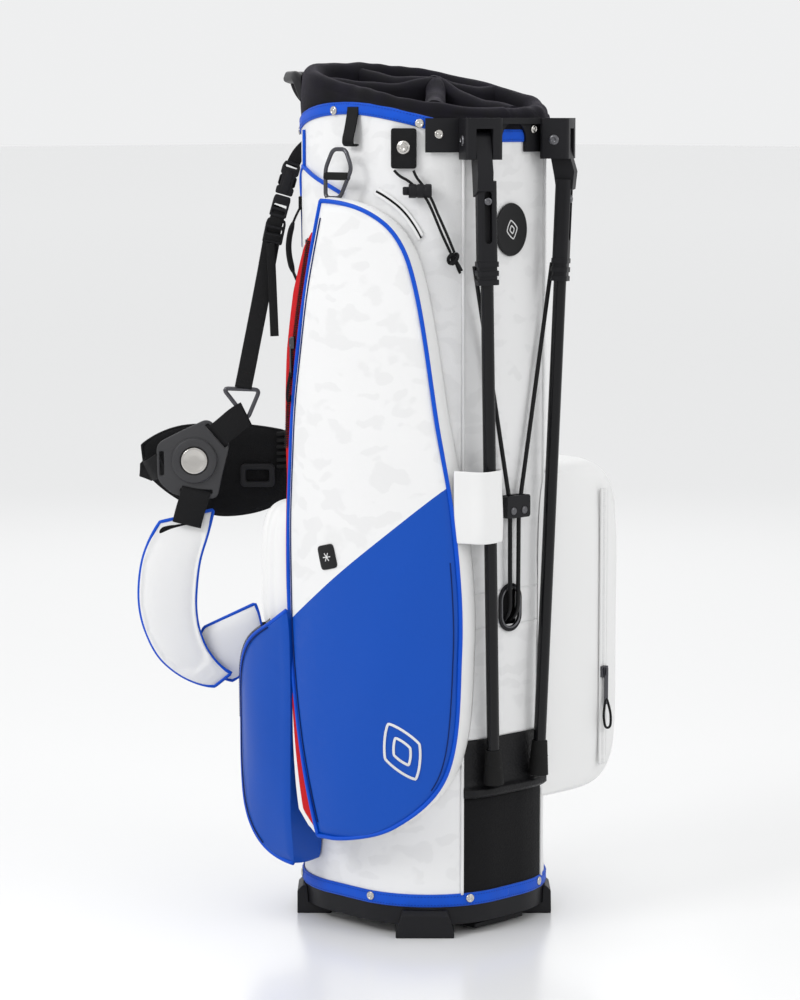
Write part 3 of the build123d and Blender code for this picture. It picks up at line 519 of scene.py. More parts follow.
blue_binding = finish("blue_grosgrain", (0.003, 0.095, 0.68), 0.62, weave_group, 900.0, 0.3, "UV", dark=0.72,
                      Sheen_Weight=0.15, Sheen_Roughness=0.4)
blue_piping = finish("blue_piping", (0.002, 0.085, 0.62), 0.40, grain_group, 1500.0, 0.1, dark=0.8)
white_piping = finish("white_piping", (0.82, 0.82, 0.82), 0.45, grain_group, 1500.0, 0.1, dark=0.97)
# Painted shadow: this dark blue stands for the shade in a seam's groove. It is drawn as thin lines just inside the
# piped pocket edges.
painted_seam_shadow = finish("painted_seam_shadow", (0.003, 0.018, 0.12), 0.6, grain_group, 1500.0, 0.1)
blue_thread = finish("blue_thread", (0.002, 0.03, 0.30), 0.55, grain_group, 4000.0, 0.1)
white_thread = finish("white_thread", (0.70, 0.70, 0.69), 0.55, grain_group, 4000.0, 0.1)
nickel = finish("nickel", (0.62, 0.60, 0.57), 0.22, grain_group, 500.0, 0.02, Metallic=1.0)


def frames(path, up):
    """Unit side and lift vectors along a path: side is tangent cross up, lift completes the frame."""
    tangent = np.gradient(path, axis=0)
    tangent /= np.linalg.norm(tangent, axis=1, keepdims=True) + 1e-12
    side = np.cross(tangent, np.broadcast_to(np.asarray(up, float), path.shape))
    side /= np.linalg.norm(side, axis=1, keepdims=True) + 1e-12
    return side, np.cross(side, tangent)


def swept(name, path, profile, up, closed=False, scale=None):
    """A profile of (side, lift) offsets carried along a path, closed at its ends or round the loop."""
    side, lift = frames(path, up)
    if closed:
        side[0] = side[-1] = (side[0] + side[-1]) / 2
        lift[0] = lift[-1] = (lift[0] + lift[-1]) / 2
    size = np.ones(len(path)) if scale is None else np.asarray(scale, float)
    points = (path[:, None] + side[:, None] * (profile[:, 0] * size[:, None])[..., None]
              + lift[:, None] * (profile[:, 1] * size[:, None])[..., None])
    if closed:
        points = points[:-1]
    return grid_mesh(name, points, closed_u=closed, closed_v=True, capped=not closed)


def circle(radius, sides=10):
    """A round profile."""
    turns = np.arange(sides) / sides * 2 * math.pi
    return np.stack([np.cos(turns), np.sin(turns)], 1) * radius


def strap_profile(width, thickness, sides=6):
    """A flat profile with round edges: a stadium, its long way across the strap."""
    turns = np.linspace(-math.pi / 2, math.pi / 2, sides)
    right = np.stack([width / 2 - thickness / 2 + np.cos(turns) * thickness / 2, np.sin(turns) * thickness / 2], 1)
    return np.concatenate([right, -right])


def through(points, count):
    """A smooth curve through points: cubic Hermite spans whose slopes come from the neighbours."""
    points = np.asarray(points, float)
    knots = np.concatenate([[0], np.cumsum(np.linalg.norm(np.diff(points, axis=0), axis=1) ** 0.5)])
    slopes = np.gradient(points, knots, axis=0, edge_order=2 if len(points) > 2 else 1)
    t = np.linspace(0, knots[-1], count)
    span = np.clip(np.searchsorted(knots, t, side="right") - 1, 0, len(points) - 2)
    width = (knots[span + 1] - knots[span])[:, None]
    f = (t[:, None] - knots[span][:, None]) / width
    return ((2 * f ** 3 - 3 * f ** 2 + 1) * points[span] + (f ** 3 - 2 * f ** 2 + f) * width * slopes[span]
            + (3 * f ** 2 - 2 * f ** 3) * points[span + 1] + (f ** 3 - f ** 2) * width * slopes[span + 1])


def evenly(path, pitch):
    """Points spaced evenly by length along a path; further columns beside x, y and z go with them."""
    length = np.concatenate([[0], np.cumsum(np.linalg.norm(np.diff(path[:, :3], axis=0), axis=1))])
    count = max(int(length[-1] / pitch) + 1, 2)
    at = np.linspace(0, length[-1], count)
    return np.stack([np.interp(at, length, column) for column in path.T], 1)


def stitched(name, path, up, material, slot, body="bag", pitch=3.6, length=2.3, radius=0.32, lift=0.25):
    """A row of stitches: short spindles of eight faces along a path, sunk at both ends."""
    dots = evenly(np.concatenate([path, np.broadcast_to(np.asarray(up, float), path.shape)], 1), pitch)
    dots, up = dots[:, :3], dots[:, 3:]
    side, rise = frames(dots, up)
    run = np.cross(rise, side)
    ring = np.array([[-1, 0, 0], [0, 1, 0], [0, 0, 1], [0, -1, 0], [0, 0, -0.6], [1, 0, 0]], float)
    shape = ring * [length / 2, radius * 1.3, radius]
    points = (dots[:, None] + run[:, None] * shape[:, :1] + side[:, None] * shape[:, 1:2]
              + rise[:, None] * (shape[:, 2:] + lift))
    faces = np.array([[0, 1, 2], [0, 2, 3], [0, 3, 4], [0, 4, 1], [5, 2, 1], [5, 3, 2], [5, 4, 3], [5, 1, 4]])
    faces = (faces[None] + np.arange(len(dots))[:, None, None] * 6).reshape(-1, 3)
    mesh = bpy.data.meshes.new(name)
    mesh.from_pydata((points.reshape(-1, 3) * MM).tolist(), [], faces[:, ::-1].tolist())
    work = bmesh.new()
    work.from_mesh(mesh)
    bmesh.ops.recalc_face_normals(work, faces=work.faces)
    work.to_mesh(mesh)
    work.free()
    return made(name, mesh, material, slot, body)


def binding(name, low_z, high_z, out, nodes=()):
    """A band of binding round the tube between two heights, rolled over at both edges, with its stitches."""
    s = np.linspace(0, girth, 420)[:-1]
    x, _ = around(s)
    bottom, top = low_z(x), high_z(x)
    turn = np.array([0.0, 0.04, 0.14, 0.5, 0.86, 0.96, 1.0])
    swell = np.array([0.1, 0.7, 1.0, 1.08, 1.0, 0.7, 0.1]) * out
    ripple = 0.12 * np.sin(s / 2.9)[:, None] * np.array([0, 1, 0.6, 0, 0.6, 1, 0])
    x, y = around(s[:, None], swell[None, :] + ripple)
    z = bottom[:, None] + (top - bottom)[:, None] * turn[None, :]
    points = np.stack([x, y, np.broadcast_to(z, x.shape)], -1)
    made(name, grid_mesh(name, points, closed_u=True), blue_binding, "blue_fabric", nodes=nodes, wall=0.9)
    for row, inset in (("low", 0.18), ("high", 0.82)):
        sx, sy = around(s, out * 1.05)
        path = np.stack([sx, sy, bottom + (top - bottom) * inset], 1)
        normal = np.stack([sx, sy, np.zeros_like(sx)], 1)
        stitched(f"{name}_stitches_{row}", path, normal, blue_thread, "blue_fabric", lift=0.1, pitch=3.4)


trim_band = 12.5
binding("foot_binding", lambda x: x * 0 + skin_low, lambda x: x * 0 + skin_low + 13.5, 1.7, ["bound_edges"])
binding("mouth_binding", lambda x: arched(x) - trim_band, lambda x: arched(x) + 0.5, 1.7)


def pipe(name, path, radius, material, slot, body="bag", up=(0, 0, 1), count=160):
    """A piping cord sewn along a seam."""
    return made(name, swept(name, through(path, count), circle(radius, 8), up), material, slot, body)


def on_tube(s_and_z, out):
    """Points on the tube from lengths round it and heights."""
    s, z = np.asarray(s_and_z, float).T
    x, y = around(s, out)
    return np.stack([x, y, z], 1)


for side, name in ((-1, "near"), (1, "far")):
    rows = [(side * belly_seam, z) for z in np.linspace(skin_low + 12, 800, 24)]
    pipe(f"belly_piping_{name}", on_tube(rows, 0.6), 1.7, white_piping, "white_fabric", up=(1, 0, 0))
    rows = [(side * spine_seam, z) for z in np.linspace(skin_low + 12, 802, 24)]
    pipe(f"spine_piping_{name}", on_tube(rows, 0.4), 1.7, blue_piping, "blue_fabric", up=(1, 0, 0))


def turned(name, places, profile, material, slot, body="bag", nodes=(), sides=20):
    """Round fittings: a profile of (radius, height) turned about each place's outward normal."""
    turns = np.arange(sides) / sides * 2 * math.pi
    vertices, faces = [], []
    count = len(profile)
    for at, normal in places:
        normal = np.asarray(normal, float) / np.linalg.norm(normal)
        side = np.cross(normal, (0, 0, 1))
        side /= np.linalg.norm(side)
        lift = np.cross(normal, side)
        r, h = np.asarray(profile, float).T
        ring = (np.cos(turns)[None, :, None] * side + np.sin(turns)[None, :, None] * lift)
        points = np.asarray(at) + r[:, None, None] * ring + h[:, None, None] * normal
        index = np.arange(count * sides).reshape(count, sides) + len(vertices) * count * sides
        nxt = np.roll(index, -1, 1)
        faces += np.stack([index[:-1], nxt[:-1], nxt[1:], index[1:]], -1).reshape(-1, 4).tolist()
        faces += [index[0, ::-1].tolist(), index[-1].tolist()]
        vertices.append(points.reshape(-1, 3))
    mesh = bpy.data.meshes.new(name)
    mesh.from_pydata((np.concatenate(vertices) * MM).tolist(), [], faces)
    work = bmesh.new()
    work.from_mesh(mesh)
    bmesh.ops.recalc_face_normals(work, faces=work.faces)
    work.to_mesh(mesh)
    work.free()
    mesh.polygons.foreach_set("use_smooth", np.ones(len(mesh.polygons), bool))
    piece = made(name, mesh, material, slot, body, nodes)
    rounding = piece.modifiers.new("edge radius", "BEVEL")
    rounding.width = 0.15 * MM
    rounding.limit_method = "ANGLE"
    return piece


def wall_spot(degrees_, z, out, flat_at=None):
    """A place and its normal on the tube's wall where the normal has this angle."""
    turn = math.radians(degrees_)
    cx, cy = flat_at or (math.copysign(flat_x, math.cos(turn)), math.copysign(flat_y, math.sin(turn)))
    reach = tube_corner + out
    return (cx + reach * math.cos(turn), cy + reach * math.sin(turn), z), (math.cos(turn), math.sin(turn), 0)


rivet_profile = [(4.6, 0), (4.6, 0.5), (4.0, 1.2), (2.9, 1.5), (2.5, 1.1), (1.9, 1.0), (1.5, 1.35), (0.5, 1.5)]
rivet_places = [wall_spot(turn, skin_low + 8, 1.9) for turn in (-128, -82, -20, 20, 82, 128, 168, -168)]
for side in (-1, 1):
    for turn, flat_at in ((90, (-13, side * flat_y)), (51, None), (140, None)):
        at, normal = wall_spot(side * turn, 0, 1.9, flat_at)
        rivet_places.append(((at[0], at[1], float(arched(at[0])) - 8), normal))
    rivet_places.append(wall_spot(side * 40, 818, 4.6))
    rivet_places.append(wall_spot(0, 823, 4.6, (flat_x, side * 29)))
turned("rivet_heads", rivet_places, rivet_profile, nickel, "nickel", nodes=["rivets"])

# ---------------------------------------------------------------- padded mouth in velour
# The mouth is edged with a foam roll in dark plush velour, and five padded bars in the same
# plush divide it. The pile catches light along its folds and looks almost black elsewhere.
pile_group, start, end = group_with(
    "pile",
    [("Vector", "NodeSocketVector", None), ("Scale", "NodeSocketFloat", 2200.0)],
    [("Height", "NodeSocketFloat"), ("Patches", "NodeSocketFloat")],
)
fine = noise_node(pile_group, start.outputs["Vector"], start.outputs["Scale"], 2)
pile_group.links.new(fine, end.inputs["Height"])
brushed = noise_node(pile_group, start.outputs["Vector"], 55.0, 6, 0.62)
steep = pile_group.nodes.new("ShaderNodeMapRange")
steep.inputs["From Min"].default_value = 0.35
steep.inputs["From Max"].default_value = 0.68
pile_group.links.new(brushed, steep.inputs["Value"])
pile_group.links.new(steep.outputs[0], end.inputs["Patches"])

velour = finish("velour", (0.009, 0.008, 0.013), 0.9, pile_group, 2200.0, 0.5, dark=0.28, Sheen_Weight=0.12,
                Sheen_Roughness=0.32)
velour.node_tree.nodes["Principled BSDF"].inputs["Sheen Tint"].default_value = (0.62, 0.56, 0.72, 1)
black_cloth = finish("black_cloth", (0.007, 0.007, 0.008), 0.8, weave_group, 1300.0, 0.3, "UV", dark=0.6)

s = np.linspace(0, girth, 340)[:-1, None]
x, _ = around(s)
mouth = rim_height(x)
skirt = arched(x) - 2.0
roll = np.linspace(0, 1, 46)[None, :]
curl = np.clip((roll - 0.45) / 0.30, 0, 1) * math.pi
cuff_out = np.where(roll < 0.45, -0.6 + 1.6 * np.sin(roll / 0.45 * math.pi),
                    np.where(roll < 0.75, -10.8 + 10.2 * np.cos(curl), -21.0 - 1.5 * (roll - 0.75)))
cuff_z = np.where(roll < 0.45, skirt + (mouth - 11 - skirt) * roll / 0.45,
                  np.where(roll < 0.75, mouth - 11 + 10.5 * np.sin(curl), mouth - 11 - 190 * (roll - 0.75)))
gathers = (0.7 * np.sin(s / 5.1 + 3 * np.sin(s / 47)) * np.sin(roll * math.pi) * np.sin(s / 91 + 0.6) ** 2
           + 1.3 * np.sin(s / 29 + 0.5) * np.sin(roll * 5.1) + 0.8 * np.sin(s / 13 + 7 * roll))
x, y = around(s, cuff_out + 0.55 * gathers)
z = cuff_z + 0.7 * gathers * np.clip((roll - 0.1) * 4, 0, 1)
made("velour_cuff", grid_mesh("velour_cuff", np.stack([x, y, z], -1), closed_u=True), velour, "velour",
     nodes=["top_cuff"], wall=1.5)

hub = np.array([-5.0, 22.0])
bar_ends = ((86, -74), (118, 18), (0, 114), (-118, 8), (-42, -112))
for number, bar_end in enumerate(bar_ends):
    way = np.array(bar_end) - hub
    reach = np.linalg.norm(way)
    way = way / reach
    along = np.linspace(-4, reach - 9, 60)
    spots = hub + along[:, None] * way
    top = rim_height(spots[:, 0]) - 9.5 + 7.5 * np.exp(-(along / 34) ** 2) - 2.5 * np.sin(along / reach * math.pi)
    deep = 46.0
    turns = np.linspace(0, math.pi, 15)
    arch = np.stack([np.cos(turns) * 9.8, np.sin(turns) * 9.0], 1)
    skirt_rows = np.array([[-9.2, -deep * 0.5], [-6.0, -deep], [6.0, -deep], [9.2, -deep * 0.5]])
    profile = np.concatenate([arch, skirt_rows])
    squeeze = 1 + 0.06 * np.sin(along / 7.0 + number) + 0.05 * np.sin(along / 17.0 + 2 * number)
    path = np.stack([spots[:, 0], spots[:, 1], top], 1)
    side = np.array([-way[1], way[0], 0])
    points = (path[:, None] + side * (profile[:, 0] * squeeze[:, None])[..., None]
              + np.array([0, 0, 1]) * (profile[:, 1] * squeeze[:, None])[..., None])
    mesh = grid_mesh(f"padded_bar_{number + 1}", points, closed_v=True, capped=True, flip=True)
    made(f"padded_bar_{number + 1}", mesh, velour, "velour")

s = np.linspace(0, girth, 200)[:-1, None]
z = np.linspace(46, 800, 40)[None, :]
x, y = around(s, -7.0 + 0.8 * np.sin(s / 17) * np.sin(z / 60))
made("inner_lining", grid_mesh("inner_lining", np.stack([x, y, np.broadcast_to(z, x.shape)], -1), closed_u=True,
     flip=True), black_cloth, "divider_fabric", wall=0.6)

# ---------------------------------------------------------------- full-length pocket
# A long padded pocket bows round the near corner. Its front is white cloth over blue cloth, cut
# on a slant, with blue piping round it, a white gusset behind and a red zip tape at its edge.
pocket_turn = math.radians(-67.0)
pocket_across = np.array([-math.sin(pocket_turn), math.cos(pocket_turn), 0.0])
pocket_out = np.array([math.cos(pocket_turn), math.sin(pocket_turn), 0.0])
up_way = np.array([0.0, 0.0, 1.0])
pocket_reach = 162.0

blue_coat = finish("blue_coated_cloth", (0.001, 0.070, 0.44), 0.44, grain_group, 1500.0, 0.12, dark=0.88,
                   spread=0.05, Coat_Weight=0.12, Coat_Roughness=0.3)
red_tape = finish("red_zip_tape", (0.62, 0.008, 0.012), 0.5, weave_group, 1200.0, 0.25, "UV", dark=0.85)

left_curve = through([(-58, 104), (-84, 205), (-100, 343), (-98, 470), (-86, 590), (-52, 752)], 400)
right_curve = through([(-58, 104), (-16, 107), (30, 122), (76, 168), (91, 300), (86, 420), (72, 520), (38, 706),
                       (8, 738), (-52, 752)], 600)


def pocket_edge(curve, z):
    """Across-pocket place of an edge at a height."""
    order = np.argsort(curve[:, 1])
    return np.interp(z, curve[order, 1], curve[order, 0])


def tube_depth(across, direction, outward):
    """How far out the tube's skin is, along an outward direction, at an across place."""
    dense = np.linspace(0, girth, 1500)
    x, y = around(dense, 0.6)
    place, depth = x * direction[0] + y * direction[1], x * outward[0] + y * outward[1]
    front = depth > 0
    order = np.argsort(place[front])
    return np.interp(across, place[front][order], depth[front][order])


def in_pocket(across, z, depth):
    """Points from across, height and depth in the tall pocket's own directions."""
    across, z, depth = np.broadcast_arrays(across, z, depth)
    return across[..., None] * pocket_across + z[..., None] * up_way + depth[..., None] * pocket_out


def front_depth(across, z):
    """The bowed front: a circle about the tube's axis, with soft dents and a little fullness."""
    bow = np.sqrt(np.maximum(pocket_reach ** 2 - across ** 2, 1.0))
    dents = (1.1 * np.sin(across / 21 + z / 63) * np.sin(z / 97 + 0.8) + 0.7 * np.sin(across / 13 - z / 41 + 1.2)
             * np.clip(np.sin(z / 160), 0, 1) + 0.5 * np.sin(z / 19 + across / 45))
    return bow + dents


def border(rows, columns):
    """Row and column numbers once round the edge of a grid, from its first corner."""
    loop = [(0, c) for c in range(columns)] + [(r, columns - 1) for r in range(1, rows)]
    loop += [(rows - 1, c) for c in range(columns - 2, -1, -1)] + [(r, 0) for r in range(rows - 2, 0, -1)]
    return np.array(loop).T


def bag_shell(curve_low, curve_high, depth_front, depth_back, place, rows, columns, gusset_rows=10,
              bulge=3.0, rim=3.5):
    """A closed pocket: a front between two edge curves, a gusset round it and a back on the tube.

    Rows are heights spaced by a cosine, so they crowd at both ends; each row runs from the first edge
    to the second. The front sinks by `rim` to its seam. The gusset runs from the seam to the tube and
    bulges as half a sine wave.
    """
    z_low, z_high = curve_low[:, 1].min(), curve_low[:, 1].max()
    height = z_low + (z_high - z_low) * (0.5 - 0.5 * np.cos(np.linspace(0.0, 1, rows) * math.pi))
    first, last = pocket_edge(curve_low, height)[:, None], pocket_edge(curve_high, height)[:, None]
    blend = 0.5 - 0.5 * np.cos(np.linspace(0, 1, columns)[None, :] * math.pi)
    across = first + (last - first) * blend
    z = np.broadcast_to(height[:, None], across.shape)
    edge_gap = np.minimum(np.minimum(across - first, last - across), np.minimum(z - z_low, z_high - z) * 0.7)
    seam = np.clip(1 - edge_gap / 9.0, 0, 1) ** 2
    front = depth_front(across, z) - rim * seam
    back = depth_back(across, z)
    front = np.maximum(front, back + 2.0)
    shell_front, shell_back = place(across, z, front), place(across, z, back)
    row, column = border(rows, columns)
    outer, inner = shell_front[row, column], shell_back[row, column]
    middle = place(np.array(across.mean()), np.array(z.mean()), np.array(0.0))
    away = outer - middle
    away -= (away @ pocket_out)[:, None] * pocket_out
    away /= np.linalg.norm(away, axis=1, keepdims=True) + 1e-9
    share = np.linspace(0, 1, gusset_rows)[None, :, None]
    wall = outer[:, None] * (1 - share) + inner[:, None] * share + away[:, None] * bulge * np.sin(share * math.pi)
    return shell_front, wall, shell_back, height, first[:, 0], last[:, 0]


def close_shell(name, front, wall, back):
    """One closed mesh from a front, a gusset and a back that share their edges."""
    parts = [grid_mesh(name, front), grid_mesh(name, wall, closed_u=True), grid_mesh(name, back, flip=True)]
    work = bmesh.new()
    for number, part in enumerate(parts):
        before = len(work.faces)
        work.from_mesh(part)
        work.faces.ensure_lookup_table()
        for face in work.faces[before:]:
            face.material_index = number
    bmesh.ops.remove_doubles(work, verts=work.verts, dist=2e-5)
    bmesh.ops.dissolve_degenerate(work, edges=work.edges, dist=1e-6)
    bmesh.ops.recalc_face_normals(work, faces=work.faces)
    mesh = parts[0]
    work.to_mesh(mesh)
    work.free()
    return mesh


front, wall, back, rows_z, left_p, right_p = bag_shell(
    left_curve, right_curve, front_depth,
    lambda across, z: tube_depth(across, pocket_across, pocket_out) + 0.4, in_pocket, rows=210, columns=64)
mesh = close_shell("tall_pocket_shell", front, wall, back)
two_tone = finish("pocket_front_cloth", (0.83, 0.83, 0.83), 0.44, coat_group, 1500.0, 0.3, dark=0.95, spread=0.05,
                  Coat_Weight=0.12, Coat_Roughness=0.32)
tree = two_tone.node_tree
shader = tree.nodes["Principled BSDF"]
white_shades = shader.inputs["Base Color"].links[0].from_socket
where = tree.nodes.new("ShaderNodeTexCoord")
split = tree.nodes.new("ShaderNodeVectorMath")
split.operation = "DOT_PRODUCT"
split_slope = 0.82
split.inputs[1].default_value = (-split_slope * pocket_across[0], -split_slope * pocket_across[1], 1.0)
tree.links.new(where.outputs["Object"], split.inputs[0])
above = tree.nodes.new("ShaderNodeMath")
above.operation = "GREATER_THAN"
split_z = 0.402
above.inputs[1].default_value = split_z
tree.links.new(split.outputs["Value"], above.inputs[0])
halves = tree.nodes.new("ShaderNodeMix")
halves.data_type = "RGBA"
halves.inputs[6].default_value = (0.001, 0.070, 0.44, 1)
tree.links.new(above.outputs[0], halves.inputs[0])
tree.links.new(white_shades, halves.inputs[7])
tree.links.new(halves.outputs[2], shader.inputs["Base Color"])
piece = made("tall_pocket_shell", mesh, two_tone, "pocket_fabric", nodes=["tall_pocket"])
mesh.materials.append(plain_white)
mesh.materials.append(plain_white)

pipe_out = 0.6
left_edge = in_pocket(left_p, rows_z, np.sqrt(pocket_reach ** 2 - left_p ** 2) - 2.6 + pipe_out)
right_edge = in_pocket(right_p, rows_z, np.sqrt(pocket_reach ** 2 - right_p ** 2) - 2.6 + pipe_out)
left_line, right_line = evenly(left_edge, 4.0), evenly(right_edge, 4.0)
made("tall_pocket_piping_right", swept("p", right_line, circle(2.3, 10), pocket_out), blue_piping, "blue_fabric")
made("tall_pocket_piping_left", swept("p", left_line, circle(2.1, 10), pocket_out), blue_piping, "blue_fabric")


def inside_line(curve, z_from, z_to, inset, count=120):
    """A line on the pocket's front, set in from one of its edges."""
    z = np.linspace(z_from, z_to, count)
    across = pocket_edge(curve, z) + inset
    return in_pocket(across, z, front_depth(across, z) + 0.1)


# A dark blue line inside the left piping: painted shadow of the seam beside it.
made("tall_pocket_seam_shadow_left", swept("p", inside_line(left_curve, 118, 735, 5.0), circle(0.7, 6), pocket_out),
     painted_seam_shadow, "blue_fabric")
# A dark blue line inside the right piping: painted shadow of the seam beside it.
z = np.linspace(160, 392, 90)
across = pocket_edge(right_curve, z) - 5.5
made("tall_pocket_seam_shadow_right", swept("p", in_pocket(across, z, front_depth(across, z) - 0.2), circle(0.6, 6),
     pocket_out), painted_seam_shadow, "blue_fabric")

tape_z = (110, 128, 170, 250, 330, 470, 520, 600, 660, 705, 722)
tape_width = (0.5, 10.0, 7.5, 3.0, 1.9, 2.6, 6.5, 12.0, 13.0, 9.0, 2.4)


def edge_strip(name, z_range, inner_gap, width_of, material, slot, back_lean, count=140):
    """A strip of tape beside the pocket's zipped edge, leaning back towards the tube as it leaves it."""
    z = np.linspace(*z_range, count)[:, None]
    start = pocket_edge(left_curve, z)
    share = np.linspace(0, 1, 7)[None, :]
    gap = np.interp(z, tape_z, inner_gap) if np.ndim(inner_gap) else inner_gap
    away = gap + width_of(z) * share
    depth = np.sqrt(pocket_reach ** 2 - start ** 2) - 3.5 - back_lean * away
    points = in_pocket(start - away, z, depth)
    return made(name, grid_mesh(name, points), material, slot, wall=1.0)


edge_strip("red_tape", (112, 720), 1.2, lambda z: np.interp(z, tape_z, tape_width), red_tape, "blue_fabric", 0.12)
white_z, white_width = (104, 112, 150, 200, 235), (1.0, 7.0, 5.5, 2.5, 0.1)
edge_strip("white_wedge", (106, 234), np.array(tape_width) + 1.2, lambda z: np.interp(z, white_z, white_width),
           plain_white, "white_fabric", 0.25, 60)


def zip_coil(name, path, up, half=2.2, material=black_moulding, slot="black_plastic"):
    """A zip's coil: one fine tube that swings from side to side of its path, once each pitch."""
    pitch, radius = 1.9, 0.75
    rows = evenly(np.concatenate([path, np.broadcast_to(np.asarray(up, float), path.shape)], 1), pitch / 6)
    line, rise = rows[:, :3], rows[:, 3:]
    side, lift = frames(line, rise)
    phase = np.arange(len(line)) / 6 * 2 * math.pi
    wound = line + side * (half * np.cos(phase))[:, None] + lift * (radius * np.sin(phase))[:, None]
    return made(name, swept(name, wound, circle(radius * 0.55, 4), up=(0.31, 0.17, 0.93)), material, slot)


z = np.linspace(500, 712, 120)
start = pocket_edge(left_curve, z) - 5.5
zip_coil("tall_pocket_zip", in_pocket(start, z, np.sqrt(pocket_reach ** 2 - (start + 5.5) ** 2) - 3.0), pocket_out)


def on_front(points, lift=0.5):
    """Points on the pocket's front from across places and heights."""
    across, z = np.asarray(points, float).T
    return in_pocket(across, z, front_depth(across, z) + lift)


def lozenge(centre, half_width, half_height, turn, count=40):
    """A rounded lozenge as a closed line: a superellipse of power 1.2, turned about its middle."""
    angle = np.linspace(0, 2 * math.pi, count)
    x = half_width * np.sign(np.cos(angle)) * np.abs(np.cos(angle)) ** 1.6
    y = half_height * np.sign(np.sin(angle)) * np.abs(np.sin(angle)) ** 1.6
    c, s_ = math.cos(turn), math.sin(turn)
    return np.stack([centre[0] + c * x - s_ * y, centre[1] + s_ * x + c * y], 1)


mark_thread = finish("white_embroidery", (0.86, 0.86, 0.86), 0.5, weave_group, 1500.0, 0.3, "UV", dark=0.9)
for number, (wide, high) in enumerate(((19, 31), (9, 15))):
    line = on_front(lozenge((38, 200), wide, high, 0.45))
    made(f"pocket_mark_{number + 1}", swept("p", line, strap_profile(2.8, 0.9, 4), pocket_out, closed=True),
         mark_thread, "badge")

patch_black = finish("patch_black", (0.012, 0.012, 0.013), 0.38, grain_group, 1300.0, 0.1)
angle = np.linspace(0, 2 * math.pi, 49)[:-1]
square_x = 10.5 * np.sign(np.cos(angle)) * np.abs(np.cos(angle)) ** 0.32
square_y = 12.5 * np.sign(np.sin(angle)) * np.abs(np.sin(angle)) ** 0.32
share = np.array([0.02, 0.5, 0.9, 0.97, 1.0, 1.0])[:, None]
patch_turn = 0.25
patch_at = (-43.0, 394.0)
patch_p = patch_at[0] + (square_x * math.cos(patch_turn) - square_y * math.sin(patch_turn)) * share
patch_z = patch_at[1] + (square_x * math.sin(patch_turn) + square_y * math.cos(patch_turn)) * share
patch_lift = np.array([1.5, 1.5, 1.5, 1.3, 0.8, -0.6])[:, None]
points = in_pocket(patch_p, patch_z, front_depth(patch_p, patch_z) + patch_lift)
made("pocket_patch", grid_mesh("pocket_patch", points, closed_v=True, capped=True, flip=True), patch_black, "badge")
for number in range(3):
    turn = number * math.pi / 3 + 0.2
    reach = np.linspace(-4.6, 4.6, 9)
    line = on_front(np.stack([patch_at[0] + reach * math.cos(turn), patch_at[1] + reach * math.sin(turn)], 1), 1.9)
    made(f"patch_star_{number + 1}", swept("p", line, strap_profile(1.0, 0.5, 4), pocket_out), mark_thread, "badge")

# A piped seam climbs round the corner of the tube from the pocket's top, and a welted slash
# pocket is cut into the panel between this pocket and the snap tab.
corner_spots = [wall_spot(-118, z, 0.6)[0] for z in (822, 806, 792, 784)]
made("corner_piping", swept("corner_piping", evenly(through(corner_spots, 60), 3.0), circle(1.8, 10), (-0.4, -0.9, 0)),
     blue_piping, "blue_fabric")
climb = [wall_spot(-120, 785, 0.9)[0], wall_spot(-104.5, 776, 0.9)[0], wall_spot(-96, 770.5, 0.9)[0],
         (-16, -half_y - 0.9, 763.5), (-2, -half_y - 1.4, 758.0)]
made("climbing_piping", swept("climbing_piping", evenly(through(climb, 60), 3.0), circle(2.2, 10), (0, -1, 0)),
     blue_piping, "blue_fabric")
falling = [wall_spot(turn, z, 0.7)[0] for turn, z in ((-120, 784), (-136, 772), (-141, 750), (-144, 726), (-145, 700))]
made("falling_piping", swept("falling_piping", evenly(through(falling, 60), 3.0), circle(1.6, 10), (-1, -0.5, 0)),
     blue_piping, "blue_fabric")
slash = [wall_spot(turn, z, 0.5)[0] for turn, z in ((-78, 761), (-70, 754), (-62, 744), (-55.5, 731), (-50, 715))]
slash = evenly(through(slash, 60), 3.0)
slash_way = np.array([wall_spot(turn, 0, 0)[1] for turn in np.linspace(-78, -50, len(slash))])
made("slash_opening", swept("slash_opening", slash, strap_profile(2.2, 1.0, 6), slash_way), black_cloth, "webbing")
for number, drop in enumerate((-2.6, 2.6)):
    welt = slash + np.array([0.45, 0.35, 0.8]) * drop
    made(f"slash_welt_{number + 1}", swept("slash_welt", welt, strap_profile(3.0, 1.6, 8), slash_way), plain_white,
         "white_fabric")

# ---------------------------------------------------------------- ball pocket
# A rounded pocket in blue cloth hangs beside the long pocket. A piped seam runs round its front,
# and a black coil zip curves over its upper outer edge. Air pressure in a cloth solver fills it.
out_near = np.array([0.0, -1.0, 0.0])
x_way = np.array([1.0, 0.0, 0.0])


